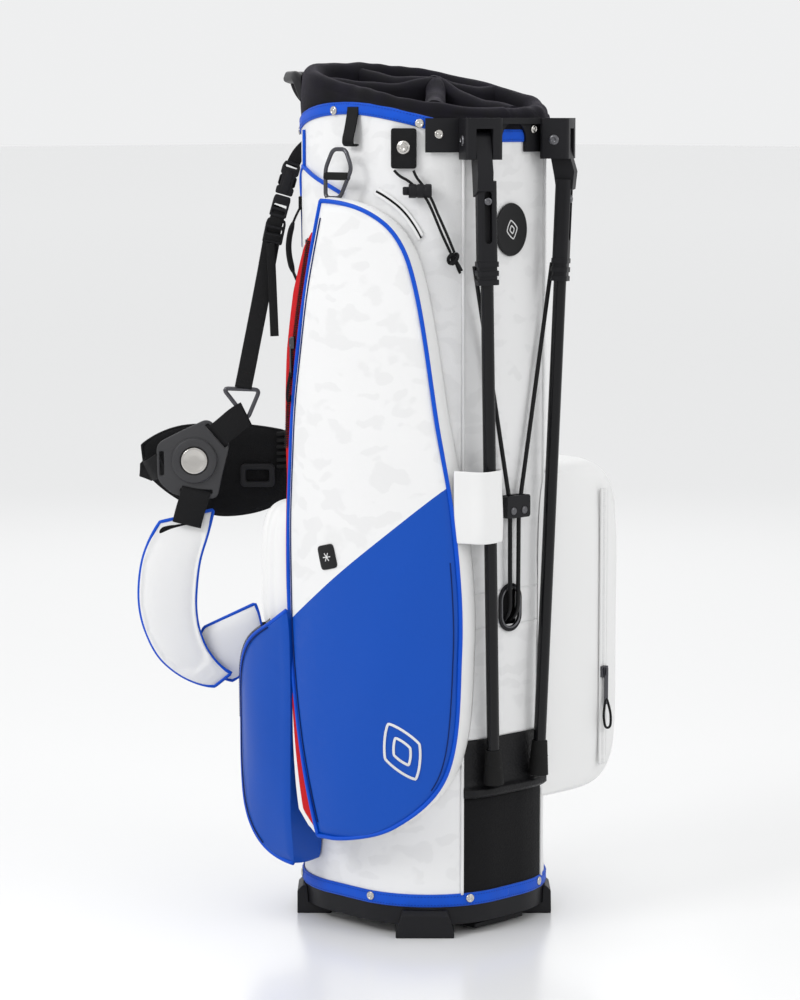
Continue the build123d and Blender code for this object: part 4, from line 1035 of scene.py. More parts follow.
def inflate(piece, held, pressure, cap, frames_=20):
    """Fill a closed cloth shell with air: held points stay, no point moves further than the cap."""
    rest = np.zeros(len(piece.data.vertices) * 3)
    piece.data.vertices.foreach_get("co", rest)
    rest = rest.reshape(-1, 3)
    pins = piece.vertex_groups.new(name="held")
    pins.add(np.nonzero(held(rest / MM))[0].tolist(), 1.0, "REPLACE")
    cloth = piece.modifiers.new("air", "CLOTH")
    cloth.settings.quality = 6
    cloth.settings.mass = 0.15
    cloth.settings.tension_stiffness = 25
    cloth.settings.compression_stiffness = 12
    cloth.settings.shear_stiffness = 6
    cloth.settings.bending_stiffness = 0.4
    cloth.settings.use_pressure = True
    cloth.settings.uniform_pressure_force = pressure
    cloth.settings.effector_weights.gravity = 0
    cloth.settings.vertex_group_mass = "held"
    cloth.collision_settings.use_collision = False
    for frame_number in range(1, frames_ + 1):
        bpy.context.scene.frame_set(frame_number)
    shown = piece.evaluated_get(bpy.context.evaluated_depsgraph_get())
    moved = np.zeros(len(rest) * 3)
    shown.data.vertices.foreach_get("co", moved)
    shift = moved.reshape(-1, 3) - rest
    far = np.linalg.norm(shift, axis=1, keepdims=True)
    shift *= np.minimum(1, cap * MM / np.maximum(far, 1e-9))
    piece.modifiers.remove(cloth)
    piece.vertex_groups.remove(pins)
    piece.data.vertices.foreach_set("co", (rest + shift).astype(np.float32).ravel())
    piece.data.update()
    bpy.context.scene.frame_set(1)


def beside_tube(across, z, depth):
    """Points from x, height and how far out on the near side."""
    across, z, depth = np.broadcast_arrays(across, z, depth)
    return across[..., None] * x_way + z[..., None] * up_way + depth[..., None] * out_near


ball_left = through([(-40, 66), (-78, 76), (-110, 108), (-129, 160), (-131, 215), (-124, 262), (-104, 292),
                     (-62, 318), (-40, 332)], 300)
ball_right = through([(-40, 66), (-36, 80), (-36, 200), (-36, 310), (-40, 332)], 200)


def ball_depth(across, z):
    """The ball pocket's front: flat beside the long pocket, rounding back as a power curve at its outer edge."""
    outer = np.clip((-70 - across) / 62, 0, 1)
    low = np.clip((130 - z) / 70, 0, 1)
    return 163 - 20 * outer ** 2.2 - 9 * low ** 2 + 0.8 * np.sin(z / 31 + across / 17)


front, wall, back, rows_z, left_x, _ = bag_shell(
    ball_left, ball_right, ball_depth,
    lambda across, z: tube_depth(across, x_way, out_near) + 0.4 + 0 * z, beside_tube,
    rows=70, columns=30, gusset_rows=16, bulge=2.0, rim=2.5)
mesh = close_shell("ball_pocket_shell", front, wall, back)
piece = made("ball_pocket_shell", mesh, blue_coat, "blue_fabric", nodes=["ball_pocket"])
mesh.materials.append(blue_coat)
mesh.materials.append(blue_coat)
ball_edge = beside_tube(left_x, rows_z, ball_depth(left_x, rows_z) - 2.4)


def near_line(line, distance):
    """A test for points closer to a line than a distance."""
    dense = evenly(line, 2.0)
    return lambda points: np.sqrt(((points[:, None] - dense[None]) ** 2).sum(-1).min(1)) < distance


ball_seam_near = near_line(ball_edge, 4.0)
inflate(piece, lambda p: ball_seam_near(p) | (p[:, 0] > -50) | (p[:, 1] > -95), pressure=5.0, cap=7.0)
piece.modifiers.new("smooth", "SUBSURF").render_levels = 1
piece.modifiers["smooth"].levels = 1
made("ball_pocket_piping", swept("p", evenly(ball_edge, 4.0), circle(2.3, 10), out_near), blue_piping, "blue_fabric")
# A dark blue line inside the ball pocket's piping: painted shadow of the seam beside it.
z = np.linspace(82, 312, 120)
across = pocket_edge(ball_left, z) + 6.5
made("ball_pocket_seam_shadow", swept("p", beside_tube(across, z, ball_depth(across, z) + 0.6), circle(0.7, 6), out_near),
     painted_seam_shadow, "blue_fabric")
zip_z = np.linspace(205, 318, 70)[:, None]
share = np.linspace(0, 1, 6)[None, :]
zip_x = pocket_edge(ball_left, zip_z) - 1.5 - 8.0 * share
zip_depth = ball_depth(pocket_edge(ball_left, zip_z), zip_z) - 5 - 4 * share
made("ball_pocket_zip_tape", grid_mesh("t", beside_tube(zip_x, zip_z, zip_depth)), black_cloth, "webbing", wall=1.2)
zip_coil("ball_pocket_zip", beside_tube(zip_x[:, 3], zip_z[:, 0], zip_depth[:, 3] + 0.9), out_near, half=2.6)

# ---------------------------------------------------------------- small pocket and far pocket
# Two plain white pockets: a slim upright one above the ball pocket, and a wide one on the far
# side. Both are single bags of coated cloth over foam, with soft upright creases.


def pillow(name, low, high, outward, across_way, power, rows, columns, crease, material, slot, node):
    """A pocket as one rounded surface: depth is a superellipse of across and height, with creases."""
    a = np.sin(np.linspace(-1, 1, columns) * math.pi / 2)[None, :]
    b = np.sin(np.linspace(-1, 1, rows) * math.pi / 2)[:, None]
    full = np.maximum(1 - np.abs(a) ** power, 0) ** (1 / power) * np.maximum(1 - np.abs(b) ** power, 0) ** (1 / power)
    corner = 1 - 0.055 * (np.abs(a) * np.abs(b)) ** 6
    across = (low[0] + high[0]) / 2 + (high[0] - low[0]) / 2 * a * corner
    z = (low[1] + high[1]) / 2 + (high[1] - low[1]) / 2 * b * corner
    base = tube_depth(across, across_way, outward) + 0.4
    depth = base + (high[2] - base) * full + crease(across, z) * np.minimum(full * 1.5, 1)
    flat = across[..., None] * across_way + z[..., None] * up_way
    front_points, back_points = (flat + d[..., None] * outward for d in (depth, base - 0.2))
    row, column = border(rows, columns)
    edge = np.stack([front_points[row, column], back_points[row, column]], 1)
    mesh = close_shell(name, front_points, edge, back_points)
    piece = made(name, mesh, material, slot, nodes=[node])
    mesh.materials.append(material)
    mesh.materials.append(material)
    return piece


far_low, far_high = (np.array(corner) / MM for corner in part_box("far_pocket"))
out_far = np.array([0.0, 1.0, 0.0])


def far_crease(across, z):
    """Soft upright waves, less one fold that wanders with height."""
    return (1.6 * np.sin(across / 15 + 0.9 * np.sin(z / 66)) * np.clip(np.sin(z / 130), 0, 1)
            - 3.0 * np.exp(-((across - 70 - 8 * np.sin(z / 90)) / 7) ** 2))


def small_crease(across, z):
    """Two upright folds, each a bell curve across the pocket."""
    return -2.2 * np.exp(-((across + 84) / 3.0) ** 2) - 1.5 * np.exp(-((across + 70) / 3.5) ** 2)


zip_line = np.stack([np.full(160, 118.9), np.full(160, 150.0), np.linspace(150, 446, 160)], 1)
ribbon_points = zip_line[:, None] + np.linspace(-5.5, 5.5, 5)[None, :, None] * np.array([0, 1.0, 0]) - (0.9, 0, 0)
made("far_pocket_zip_tape", grid_mesh("far_pocket_zip_tape", ribbon_points), plain_white, "white_fabric", wall=1.2)
zip_coil("far_pocket_zip", zip_line, (1, 0, 0), half=2.2, material=white_piping, slot="white_fabric")
piece = pillow("far_pocket_shell", (far_low[0] + 1, far_low[2], far_low[1]), (far_high[0], far_high[2], far_high[1]),
               out_far, x_way, power=5.0, rows=96, columns=72, crease=far_crease, material=plain_white,
               slot="white_fabric", node="far_pocket")
inflate(piece, lambda p: (p[:, 1] < 118) | (p[:, 0] > 109) | (np.abs(p[:, 2] - 298) > 176), pressure=4.0, cap=6.0)
small_low, small_high = (np.array(corner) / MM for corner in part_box("small_pocket"))
piece = pillow("small_pocket_shell", (small_low[0] - 1, 292, 60), (-38.0, small_high[2] + 3, 151.0), out_near, x_way,
               power=4.0, rows=70, columns=44, crease=small_crease, material=plain_white,
               slot="white_fabric", node="small_pocket")
inflate(piece, lambda p: (p[:, 0] > -60) | (p[:, 2] < 330) | (p[:, 1] > -100), pressure=4.0, cap=4.0)
line = through([(-97, -112, 318), (-99, -128, 312), (-80, -146, 308), (-50, -156, 303)], 60)
made("small_pocket_piping", swept("small_pocket_piping", line, circle(2.0, 8), up_way), blue_piping, "blue_fabric")

# ---------------------------------------------------------------- frame of the mouth, rods and mat
# A moulded ring, two coated steel rods and a moulded tube for the push rods stiffen the bag
# from inside. Brushed cloth dividers hang from the ring, and a rubber mat lies in the cup.
enamel = finish("black_enamel", (0.006, 0.006, 0.007), 0.20, grain_group, 500.0, 0.02, dark=0.9, spread=0.05,
                Coat_Weight=0.12, Coat_Roughness=0.1)
satin_wire = finish("satin_black_wire", (0.007, 0.007, 0.008), 0.34, grain_group, 900.0, 0.04, dark=0.8)
rubber = finish("rubber", (0.008, 0.008, 0.008), 0.72, grain_group, 1100.0, 0.25, dark=0.8)
gunmetal = finish("gunmetal", (0.10, 0.10, 0.11), 0.30, grain_group, 700.0, 0.04, dark=0.85, Metallic=1.0)
steel = finish("dark_steel", (0.16, 0.16, 0.17), 0.34, grain_group, 700.0, 0.04, dark=0.85, Metallic=1.0)
moulded("top_ring", black_moulding, 0.5)
moulded("stay_rods", satin_wire, 0)
moulded("rod_sleeve", black_moulding, 0)
moulded("divider_panels", velour, 0.6)
moulded("base_mat", rubber, 0.8)
moulded("kick_pin", steel, 0.3)

# ---------------------------------------------------------------- lift handle
# A hoop moulded in black nylon leans back over the rear of the mouth. A slim strut under each
# side ties it to the ring inside the mouth.
moulded("lift_handle", black_moulding, 0.8)
for side, label in ((-1, "near"), (1, "far")):
    strut = through([(-147, side * 49, 872), (-141, side * 48, 860), (-127, side * 45, 846),
                     (-116, side * 43, 838)], 30)
    made(f"handle_strut_{label}", swept(f"handle_strut_{label}", strut, strap_profile(6.5, 4.0, 8), (0, -side, 0)),
         black_moulding, "black_plastic")

# ---------------------------------------------------------------- leg bracket, legs and feet
# The bracket is one moulding screwed through the binding. Each leg is a moulded top with its
# elbow, slot and ribbed collar, on a gloss-painted aluminium tube that ends in a rubber boot.
moulded("leg_bracket", black_moulding, 0.9)
moulded("leg_pivot_pins", steel, 0.3)
pivot = np.array([134.0, 57.0, 812.0])
leg_low, leg_high = np.array([133.5, 35.0, 192.0]), np.array([141.0, 54.5, 680.0])
button_head = [(5.4, -0.5), (5.4, 0.6), (4.6, 1.5), (2.6, 2.1), (2.2, 1.2), (0.6, 1.1)]
screw_head = [(4.0, -0.5), (4.0, 0.5), (3.2, 1.4), (1.6, 1.7), (1.4, 0.9), (0.4, 0.9)]
for side, label in ((-1, "near"), (1, "far")):
    turn = np.array([1, side, 1])
    pin_way = np.array([0.5 * side, -0.8660254, 0])
    heads = [(pivot * turn + 18.6 * pin_way, pin_way), (pivot * turn - 18.6 * pin_way, -pin_way)]
    turned(f"pin_heads_{label}", heads, button_head, steel, "gunmetal")
    swing = np.array([0.8660254, 0.5 * side, 0])
    moulded(f"leg_top_{label}", black_moulding, 0.8)
    moulded(f"leg_tube_{label}", enamel, 0)
    moulded(f"leg_foot_{label}", rubber, 0.6)
    leg_way = (leg_high - leg_low) * turn
    leg_way /= leg_way[2]

    def along(height):
        """A place on the leg's middle line at a height."""
        return leg_low * turn + leg_way * (height - leg_low[2])

    for number, height in enumerate((164, 171, 178)):
        hoop = circle(1.0, 8) + (9.35 - 0.045 * (height - 158), 0)
        turned(f"foot_rib_{label}_{number + 1}", [(along(height), leg_way)],
               [tuple(point) for point in hoop[::-1]] + [tuple(hoop[-1])], rubber, "rubber",
               body=f"leg_{label}", sides=28)
    head_place = along(752) + swing * 7.6
    turned(f"leg_screw_{label}", [(head_place, swing)], screw_head, steel, "gunmetal", body=f"leg_{label}", sides=18)

# ---------------------------------------------------------------- wires, clamp, push rods and eyelet
# Two sprung steel wires in a satin black coat run from the leg collars to a screwed clamp. From
# it a pair of rods enters the bag through a moulded eyelet with a pressed metal rim.
moulded("leg_wire_near", satin_wire, 0)
moulded("leg_wire_far", satin_wire, 0)
moulded("push_rods", satin_wire, 0)
moulded("wire_clamp", black_moulding, 0.8)
clamp_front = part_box("wire_clamp")[1].x / MM
turned("clamp_screws", [((clamp_front, -8, 437), (1, 0, 0)), ((clamp_front, 8, 437), (1, 0, 0))], screw_head,
       steel, "gunmetal", body="push_rods")
moulded("rod_eyelet", black_moulding, 0.7)
eyelet_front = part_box("rod_eyelet")[1].x / MM
angle = np.linspace(0, 2 * math.pi, 65)
rim_y = 13.4 * np.cos(angle)
rim_z = 336 + 7.25 * np.sign(np.sin(angle)) + 13.4 * np.sin(angle)
rim = np.stack([0 * angle + eyelet_front - 0.2, rim_y, rim_z], 1)
made("eyelet_rim", swept("eyelet_rim", evenly(rim, 1.5)[:-1], circle(1.1, 8), (1, 0, 0), closed=True),
     steel, "gunmetal")

# ---------------------------------------------------------------- oval patch and leg tab
# A heat-sealed oval patch of black rubber sits between the legs, with a plain white mark. Below,
# a folded white tab is sewn to the belly and wraps over the near leg to keep it shut.
badge_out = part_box("belly_badge")[1].x / MM
patch_share = np.array([0.02, 0.5, 0.86, 0.93, 0.98, 1.0])[:, None]
angle = np.linspace(0, 2 * math.pi, 65)[:-1][None, :]
patch_lift = np.array([0.2, 0.2, 0.2, 0.5, 0.1, -1.2])[:, None]
points = np.stack([badge_out + patch_lift + 0 * angle, 23 * patch_share * np.cos(angle),
                   722 + 27 * patch_share * np.sin(angle)], -1)
made("oval_patch", grid_mesh("oval_patch", points, closed_v=True, capped=True), patch_black, "badge",
     nodes=["belly_badge"])
for number, (wide, high) in enumerate(((7.5, 9.5), (3.2, 4.0))):
    y, z = lozenge((0, 722), wide, high, 0.2).T
    line = np.stack([0 * y + badge_out + 0.35, y, z], 1)
    made(f"oval_mark_{number + 1}", swept("oval_mark", line[:-1], strap_profile(1.3, 0.6, 4), (1, 0, 0), closed=True),
         mark_thread, "badge")

tab_line = through([(131.4, -92), (140, -78.5), (147.6, -67.0), (148.6, -54), (148.0, -42.8), (144.5, -36.4),
                    (137, -33.8), (125.0, -33.6)], 60)
tab_z = np.linspace(410.5, 483.5, 30)[:, None]
x, y = (column[None, :] for column in evenly(tab_line, 2.5).T)
wave = 0.9 * np.sin(tab_z / 13) * np.clip((x - 132) / 14, 0, 1)
points = np.stack([x + wave, y + 0 * tab_z, tab_z + 0 * x + 1.2 * np.sin((x + y) / 19)], -1)
made("leg_tab_cloth", grid_mesh("leg_tab_cloth", points), plain_white, "white_fabric", nodes=["leg_tab"],
     wall=1.7, soften=1)
for number, row in enumerate((1, -2)):
    edge = points[row] + np.array([0.75, -0.45, 0])
    stitched(f"leg_tab_stitches_{number + 1}", edge[2:-3], (0.8, -0.55, 0), white_thread, "white_fabric", lift=0.4)

# ---------------------------------------------------------------- towel loop and snap link
# A folded loop of black webbing is sewn under the binding. A hexagonal link of round gunmetal
# wire hangs from it and swings on it; a rubber band holds the towel in the link.
black_thread = finish("black_thread", (0.012, 0.012, 0.013), 0.5, grain_group, 4000.0, 0.1)
webbing = finish("black_webbing", (0.009, 0.009, 0.010), 0.7, weave_group, 620.0, 0.5, "UV", dark=0.5)


def ribbon(name, path, up, width, thickness, material=None, slot="webbing", body="bag", nodes=(), pitch=3.0):
    """A strap along a path; its flat side faces up, one way for all points or one for each."""
    rows = evenly(np.concatenate([path, np.broadcast_to(np.asarray(up, float), path.shape)], 1), pitch)
    mesh = swept(name, rows[:, :3], strap_profile(width, thickness, 8), rows[:, 3:])
    return made(name, mesh, material or webbing, slot, body, nodes)


def cornered(points, radius, steps=7):
    """A closed line with rounded corners: each corner becomes a quadratic Bezier arc."""
    points = np.asarray(points, float)
    share = np.linspace(0, 1, steps)[:, None]
    arcs = []
    for before, corner, after in zip(np.roll(points, 1, 0), points, np.roll(points, -1, 0)):
        start = corner + (before - corner) * min(radius / np.linalg.norm(before - corner), 0.46)
        end = corner + (after - corner) * min(radius / np.linalg.norm(after - corner), 0.46)
        arcs.append((1 - share) ** 2 * start + 2 * share * (1 - share) * corner + share ** 2 * end)
    return np.concatenate(arcs)


near_wall = -half_y
loop_path = through([(15, near_wall - 1.6, 845), (15, near_wall - 3.0, 836), (15, near_wall - 6.4, 822),
                     (15, near_wall - 9.2, 812), (15, near_wall - 8.6, 807.6), (15, near_wall - 5, 806.4),
                     (15, near_wall - 1.4, 807.4)], 60)
loop_up = np.cross((-1, 0, 0), np.gradient(loop_path, axis=0))
ribbon("towel_loop_webbing", loop_path, loop_up, 16, 1.8, nodes=["towel_loop"])
link_depth = (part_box("snap_link")[0].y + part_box("snap_link")[1].y) / 2 / MM
link_line = cornered([(3, 803), (21, 803), (29.7, 784), (12.9, 754), (-8, 754), (-8, 783.6)], 6)
link_path = np.stack([link_line[:, 0], 0 * link_line[:, 0] + link_depth, link_line[:, 1]], 1)
made("snap_link_wire", swept("snap_link_wire", evenly(np.concatenate([link_path, link_path[:1]]), 1.5)[:-1],
                             circle(2.15, 12), out_near, closed=True), gunmetal, "gunmetal", "snap_link", ["snap_link"])
bar = np.stack([np.linspace(-8.5, 25.5, 16), np.full(16, link_depth), np.full(16, 776.0)], 1)
made("snap_link_band", swept("snap_link_band", bar, strap_profile(8.0, 5.2, 10), out_near), rubber, "rubber",
     "snap_link")

# ---------------------------------------------------------------- snap tab, cords, lock and knot
# A webbing tab with a nickel press stud is stitched beside the bracket. Two limp elastic cords
# leave the skin below it, pass through a spring cord lock and end in one overhand knot.


def plate(name, at, normal, outline, steps, material, slot, body="bag", nodes=()):
    """A small rounded plate: its outline scaled and lifted along the normal, one ring for each step."""
    normal = np.asarray(normal, float)
    side = np.cross(up_way, normal)
    side /= np.linalg.norm(side)
    rise = np.cross(normal, side)
    scale, lift = (column[:, None] for column in np.asarray(steps, float).T)
    a, b = (column[None, :] for column in np.asarray(outline, float).T)
    points = (np.asarray(at, float) + (a * scale)[..., None] * side + (b * scale)[..., None] * rise
              + (lift + 0 * a)[..., None] * normal)
    mesh = grid_mesh(name, points, closed_v=True, capped=True)
    return made(name, mesh, material, slot, body, nodes)


tab_steps = [(0.03, -0.8), (0.95, -0.8), (1, -0.4), (1, 1.4), (0.985, 1.9), (0.95, 2.1), (0.5, 2.15), (0.03, 2.15)]
tab_outline = cornered([(-13, -20), (13, -20), (13, 20), (-13, 20)], 3)
tab_at, tab_normal = wall_spot(-60, 804, 2.2)
plate("stud_tab_webbing", tab_at, tab_normal, tab_outline, tab_steps, webbing, "webbing", nodes=["stud_tab"])
tab_side = np.cross(up_way, tab_normal)
seam_line = cornered([(-11, -18), (11, -18), (11, 18), (-11, 18)], 2)
seam_line = np.concatenate([seam_line, seam_line[:1]])
stitched("stud_tab_stitches", np.asarray(tab_at) + seam_line[:, :1] * tab_side + seam_line[:, 1:] * up_way
         + 2.15 * np.asarray(tab_normal), tab_normal, black_thread, "webbing", lift=0.1)
stud_profile = [(7.0, -0.6), (7.0, 0.7), (6.3, 1.5), (4.9, 1.7), (4.5, 2.9), (2.9, 3.1), (2.3, 2.2), (0.4, 2.0)]
stud_at, stud_normal = wall_spot(-60, 805, 4.2)
turned("press_stud_cap", [(stud_at, stud_normal)], stud_profile, nickel, "nickel", nodes=["press_stud"], sides=32)

cord_black = finish("elastic_cord", (0.010, 0.010, 0.011), 0.75, knit_group, 1500.0, 0.5, dark=0.4)


def free_cord(name, route, radius, node):
    """A free cord: a smooth spline held by the points of its route."""
    data = bpy.data.curves.new(name, "CURVE")
    data.dimensions = "3D"
    data.bevel_depth = radius * MM
    data.bevel_resolution = 3
    data.resolution_u = 8
    data.use_fill_caps = True
    spline = data.splines.new("NURBS")
    spline.points.add(len(route) - 1)
    for held, place in zip(spline.points, route):
        held.co = (*(value * MM for value in place), 1)
    spline.order_u = 3
    spline.use_endpoint_u = True
    data.materials.append(cord_black)
    piece = bpy.data.objects.new(name, data)
    bpy.context.scene.collection.objects.link(piece)
    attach(piece, "bag")
    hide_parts(node)
    return piece


near_route = [(67, -111, 782), (73, -110.5, 776.5), (82.5, -107, 772.5), (91, -103, 764), (98.5, -97.5, 755),
              (103, -93, 741.5), (106.5, -88.5, 727.5), (109, -83, 714), (112, -77, 701)]
far_route = [(84.5, -101.5, 782), (87, -100.9, 776), (93, -99, 769.5), (98.5, -97, 762.5), (103, -93.5, 752.5),
             (106, -89.5, 740), (110, -85, 727), (113.5, -80.5, 714), (116, -75.5, 701)]
near_cord = free_cord("near_cord", near_route, 1.4, "lock_cord_near")
far_cord = free_cord("far_cord", far_route, 1.4, "lock_cord_far")

lock_at = (93.2, -98.8, 762)
lock_way = (0.7071068, 0.7071068, 0)
barrel = [(0.5, -8.6), (4.6, -8.6), (4.7, -12.6), (5.2, -13), (6.4, -13), (7, -12.3), (7, -6.2), (6.4, -5.6),
          (6.4, -4.4), (7, -3.8), (7, 1.6), (6.4, 2.2), (6.4, 3.4), (7, 4.0), (7, 9.0), (6.2, 10), (0.5, 10)]
lock = turned("cord_lock_barrel", [(lock_at, lock_way)], barrel, black_moulding, "black_plastic", nodes=["cord_lock"],
              sides=36)
button_shape = [(0.5, -11.8), (4.2, -11.8), (4.2, -17.9), (3.5, -18.8), (2.6, -19), (0.5, -18.7)]
button = turned("cord_lock_button", [(lock_at, lock_way)], button_shape, black_moulding, "black_plastic",
                body="lock_button", nodes=["lock_button"], sides=28)
knot_at = np.array([114.6, -75.6, 694.6])
t = np.linspace(0, 2 * math.pi, 121)[:-1]
knot_reach = 3.2 + 1.9 * np.cos(3 * t)
knot_path = knot_at + np.stack([knot_reach * np.cos(2 * t), knot_reach * np.sin(2 * t), 4.8 * np.sin(3 * t)], 1)
knot = made("cord_knot_wound", swept("cord_knot_wound", knot_path, circle(1.75, 10), (0.13, 0.21, 0.97), closed=True),
            cord_black, "cord", nodes=["cord_knot"])
for number, (root, bend, tip) in enumerate((((116, -74, 694), (117, -72, 686), (119, -70, 680)),
                                            ((117, -75, 694), (121, -74, 688), (124, -73, 683)))):
    tail = swept(f"cord_tail_{number + 1}", through([root, bend, tip], 16), circle(1.4, 10), (1, 0, 0))
    made(f"cord_tail_{number + 1}", tail, cord_black, "cord")

# ---------------------------------------------------------------- zip sliders and pulls
# Die-cast gunmetal sliders run on the zips. Each carries a stamped pull with a loop of cord
# knotted through its lower end.
slider_places = {
    "tall_slider_upper": (in_pocket(-69.0, 708.0, 134.0), pocket_out, -pocket_across),
    "tall_slider_lower": (in_pocket(-87.5, 608.0, 134.0), pocket_out, -pocket_across),
    "ball_slider": (np.array([-131.6, -120, 230]), np.array([0, -1.0, 0]), np.array([-1.0, 0, 0])),
    "far_slider": (np.array([118.6, 150, 250]), np.array([0, 1.0, 0]), np.array([1.0, 0, 0])),
}
for name, (at, wide_way, out_way) in slider_places.items():
    moulded(name, gunmetal, 0.6)
    loop = cornered([(-1.2, -29), (1.2, -29), (6.0, -46), (4.4, -60), (-4.4, -60), (-6.0, -46)], 6)
    loop = at + loop[:, :1] * wide_way + loop[:, 1:] * up_way + (5.2 - 0.09 * (loop[:, 1:] + 29)) * out_way
    loop = evenly(np.concatenate([loop, loop[:1]]), 1.5)[:-1]
    made(f"{name}_cord", swept(f"{name}_cord", loop, circle(1.35, 8), out_way, closed=True), cord_black, "cord", name)

# ---------------------------------------------------------------- carry handle
# A webbing grab handle is sewn to the near spine corner at both ends. Its middle is folded
# double over a foam core, which makes the grip thicker.
strap_u = np.array([0.70710678, 0.70710678, 0.0])
strap_w = np.array([0.70710678, -0.70710678, 0.0])


def hung(points):
    """Points of the hanging harness from u, height and w, how far towards the near belly corner."""
    u, z, w = np.moveaxis(np.asarray(points, float), -1, 0)
    return u[..., None] * strap_u + w[..., None] * strap_w + z[..., None] * up_way


def seen_edge_on(path):
    """The lift of a strap whose wide way runs along w."""
    return np.cross(strap_w, np.gradient(path, axis=0))


handle_path = hung(through([(-122, 752, -11), (-129, 742, -11), (-138, 722, -11), (-141.6, 700, -11), (-138, 678, -11),
                            (-129, 658, -11), (-122, 648, -11)], 80))
ribbon("carry_handle_strap", handle_path, seen_edge_on(handle_path), 21, 2.2, nodes=["carry_handle"])
grip = handle_path[22:58]
ends = np.minimum(np.arange(len(grip)), np.arange(len(grip))[::-1]) / 5
grip_swell = 0.35 + 0.65 * np.minimum(1, ends) ** 0.5
grip_up = seen_edge_on(handle_path)[22:58]
made("carry_handle_grip", swept("carry_handle_grip", grip, strap_profile(22.5, 5.6, 10), grip_up, scale=grip_swell),
     black_cloth, "webbing")
for z in (746, 654):
    anchor_at, anchor_normal = wall_spot(-143, z, 0.8)
    outline = cornered([(-11, -7), (11, -7), (11, 7), (-11, 7)], 2)
    plate(f"handle_anchor_{z}", anchor_at, anchor_normal, outline, tab_steps, webbing, "webbing")

# ---------------------------------------------------------------- buckles, ring and hub of the harness
# The buckle, the ladder lock and the hub are acetal mouldings with slots for the webbing. The
# hub turns under a raised ring with a pressed metal disc; the ring above it is bent steel wire.


def flat_part(name, loops, low_w, high_w, edge, material, slot, nodes=(), body="bag"):
    """A flat moulding in the harness plane: its outline and holes filled, with rounded edges."""
    data = bpy.data.curves.new(name, "CURVE")
    data.dimensions = "2D"
    data.fill_mode = "BOTH"
    data.extrude = ((high_w - low_w) / 2 - edge) * MM
    data.bevel_depth = edge * MM
    data.offset = -edge * MM
    data.bevel_resolution = 2
    for loop in loops:
        spline = data.splines.new("POLY")
        spline.points.add(len(loop) - 1)
        for held, (u, z) in zip(spline.points, loop):
            held.co = (u * MM, z * MM, 0, 1)
        spline.use_cyclic_u = True
    flat = bpy.data.objects.new(name, data)
    bpy.context.scene.collection.objects.link(flat)
    bpy.context.view_layer.update()
    mesh = bpy.data.meshes.new_from_object(flat.evaluated_get(bpy.context.evaluated_depsgraph_get()))
    bpy.data.objects.remove(flat)
    work = bmesh.new()
    work.from_mesh(mesh)
    bmesh.ops.remove_doubles(work, verts=work.verts, dist=2e-6)
    bmesh.ops.recalc_face_normals(work, faces=work.faces)
    work.to_mesh(mesh)
    work.free()
    flat_points = np.zeros(len(mesh.vertices) * 3)
    mesh.vertices.foreach_get("co", flat_points)
    u, z, w = flat_points.reshape(-1, 3).T
    placed = hung(np.stack([u, z, w + (low_w + high_w) / 2 * MM], 1))
    mesh.vertices.foreach_set("co", placed.astype(np.float32).ravel())
    mesh.polygons.foreach_set("use_smooth", np.ones(len(mesh.polygons), bool))
    for seam in mesh.edges:
        seam.use_edge_sharp = False
    mesh.update()
    return made(name, mesh, material, slot, body, nodes)


def on_line(start, end):
    """A function from (along, across) places, measured from a start towards an end, to u and height."""
    start, end = np.asarray(start, float), np.asarray(end, float)
    along = (end - start) / np.linalg.norm(end - start)
    across = np.array([-along[1], along[0]])
    return lambda points: [tuple(start + a * along + b * across) for a, b in points]


socket_at = on_line((-137.5, 788), (-147.5, 754))
socket_outline = cornered([(0, -7.5), (0, 7.5), (5, 9.4), (13, 9.4), (15, 6.8), (26, 6.8), (28, 9.4), (35.2, 9.0),
                           (35.2, -9.0), (28, -9.4), (26, -6.8), (15, -6.8), (13, -9.4), (5, -9.4)], 1.6, 4)
socket_slot = cornered([(3, -6), (3, 6), (6.2, 6), (6.2, -6)], 1.0, 4)[::-1]
flat_part("buckle_socket_body", [socket_at(socket_outline), socket_at(socket_slot)], -36, -26, 1.2, black_moulding,
          "black_plastic", ["buckle_socket"])
rib = cornered([(9, -3.6), (9, 3.6), (33, 4.6), (33, -4.6)], 2.5, 5)
flat_part("buckle_socket_rib", [socket_at(rib)], -27, -25.2, 0.6, black_moulding, "black_plastic")
for side in (-1, 1):
    prong = cornered([(14, side * 6.9), (16, side * 9.2), (25, side * 9.2), (27, side * 6.9)][::side], 1.0, 4)
    flat_part(f"buckle_prong_{side + 1}", [socket_at(prong)], -34, -28, 0.6, black_moulding, "black_plastic")
plug_at = on_line((-147.8, 753), (-154, 731))
plug_outline = cornered([(0, -8), (0, 8), (4, 9), (22.8, 9), (22.8, -9), (4, -9)], 1.8, 5)
plug_slots = [cornered([(start, -6.6), (start, 6.6), (start + 3.4, 6.6), (start + 3.4, -6.6)], 1.0, 4)[::-1]
              for start in (9.5, 16.2)]
flat_part("buckle_plug_body", [plug_at(plug_outline), *(plug_at(one) for one in plug_slots)], -35, -27, 1.0,
          black_moulding, "black_plastic", ["buckle_plug"])
lock_line = on_line((-154.4, 729), (-160, 703))
ladder_outline = cornered([(0, -9), (0, 9), (5, 10.5), (26.6, 10.5), (26.6, -10.5), (5, -10.5)], 2.2, 5)
ladder_slots = [cornered([(start, -7.8), (start, 7.8), (start + 4, 7.8), (start + 4, -7.8)], 1.0, 4)[::-1]
                for start in (3.2, 11, 18.6)]
flat_part("ladder_lock_body", [lock_line(ladder_outline), *(lock_line(one) for one in ladder_slots)], -36, -29, 1.0,
          black_moulding, "black_plastic", ["ladder_lock"])
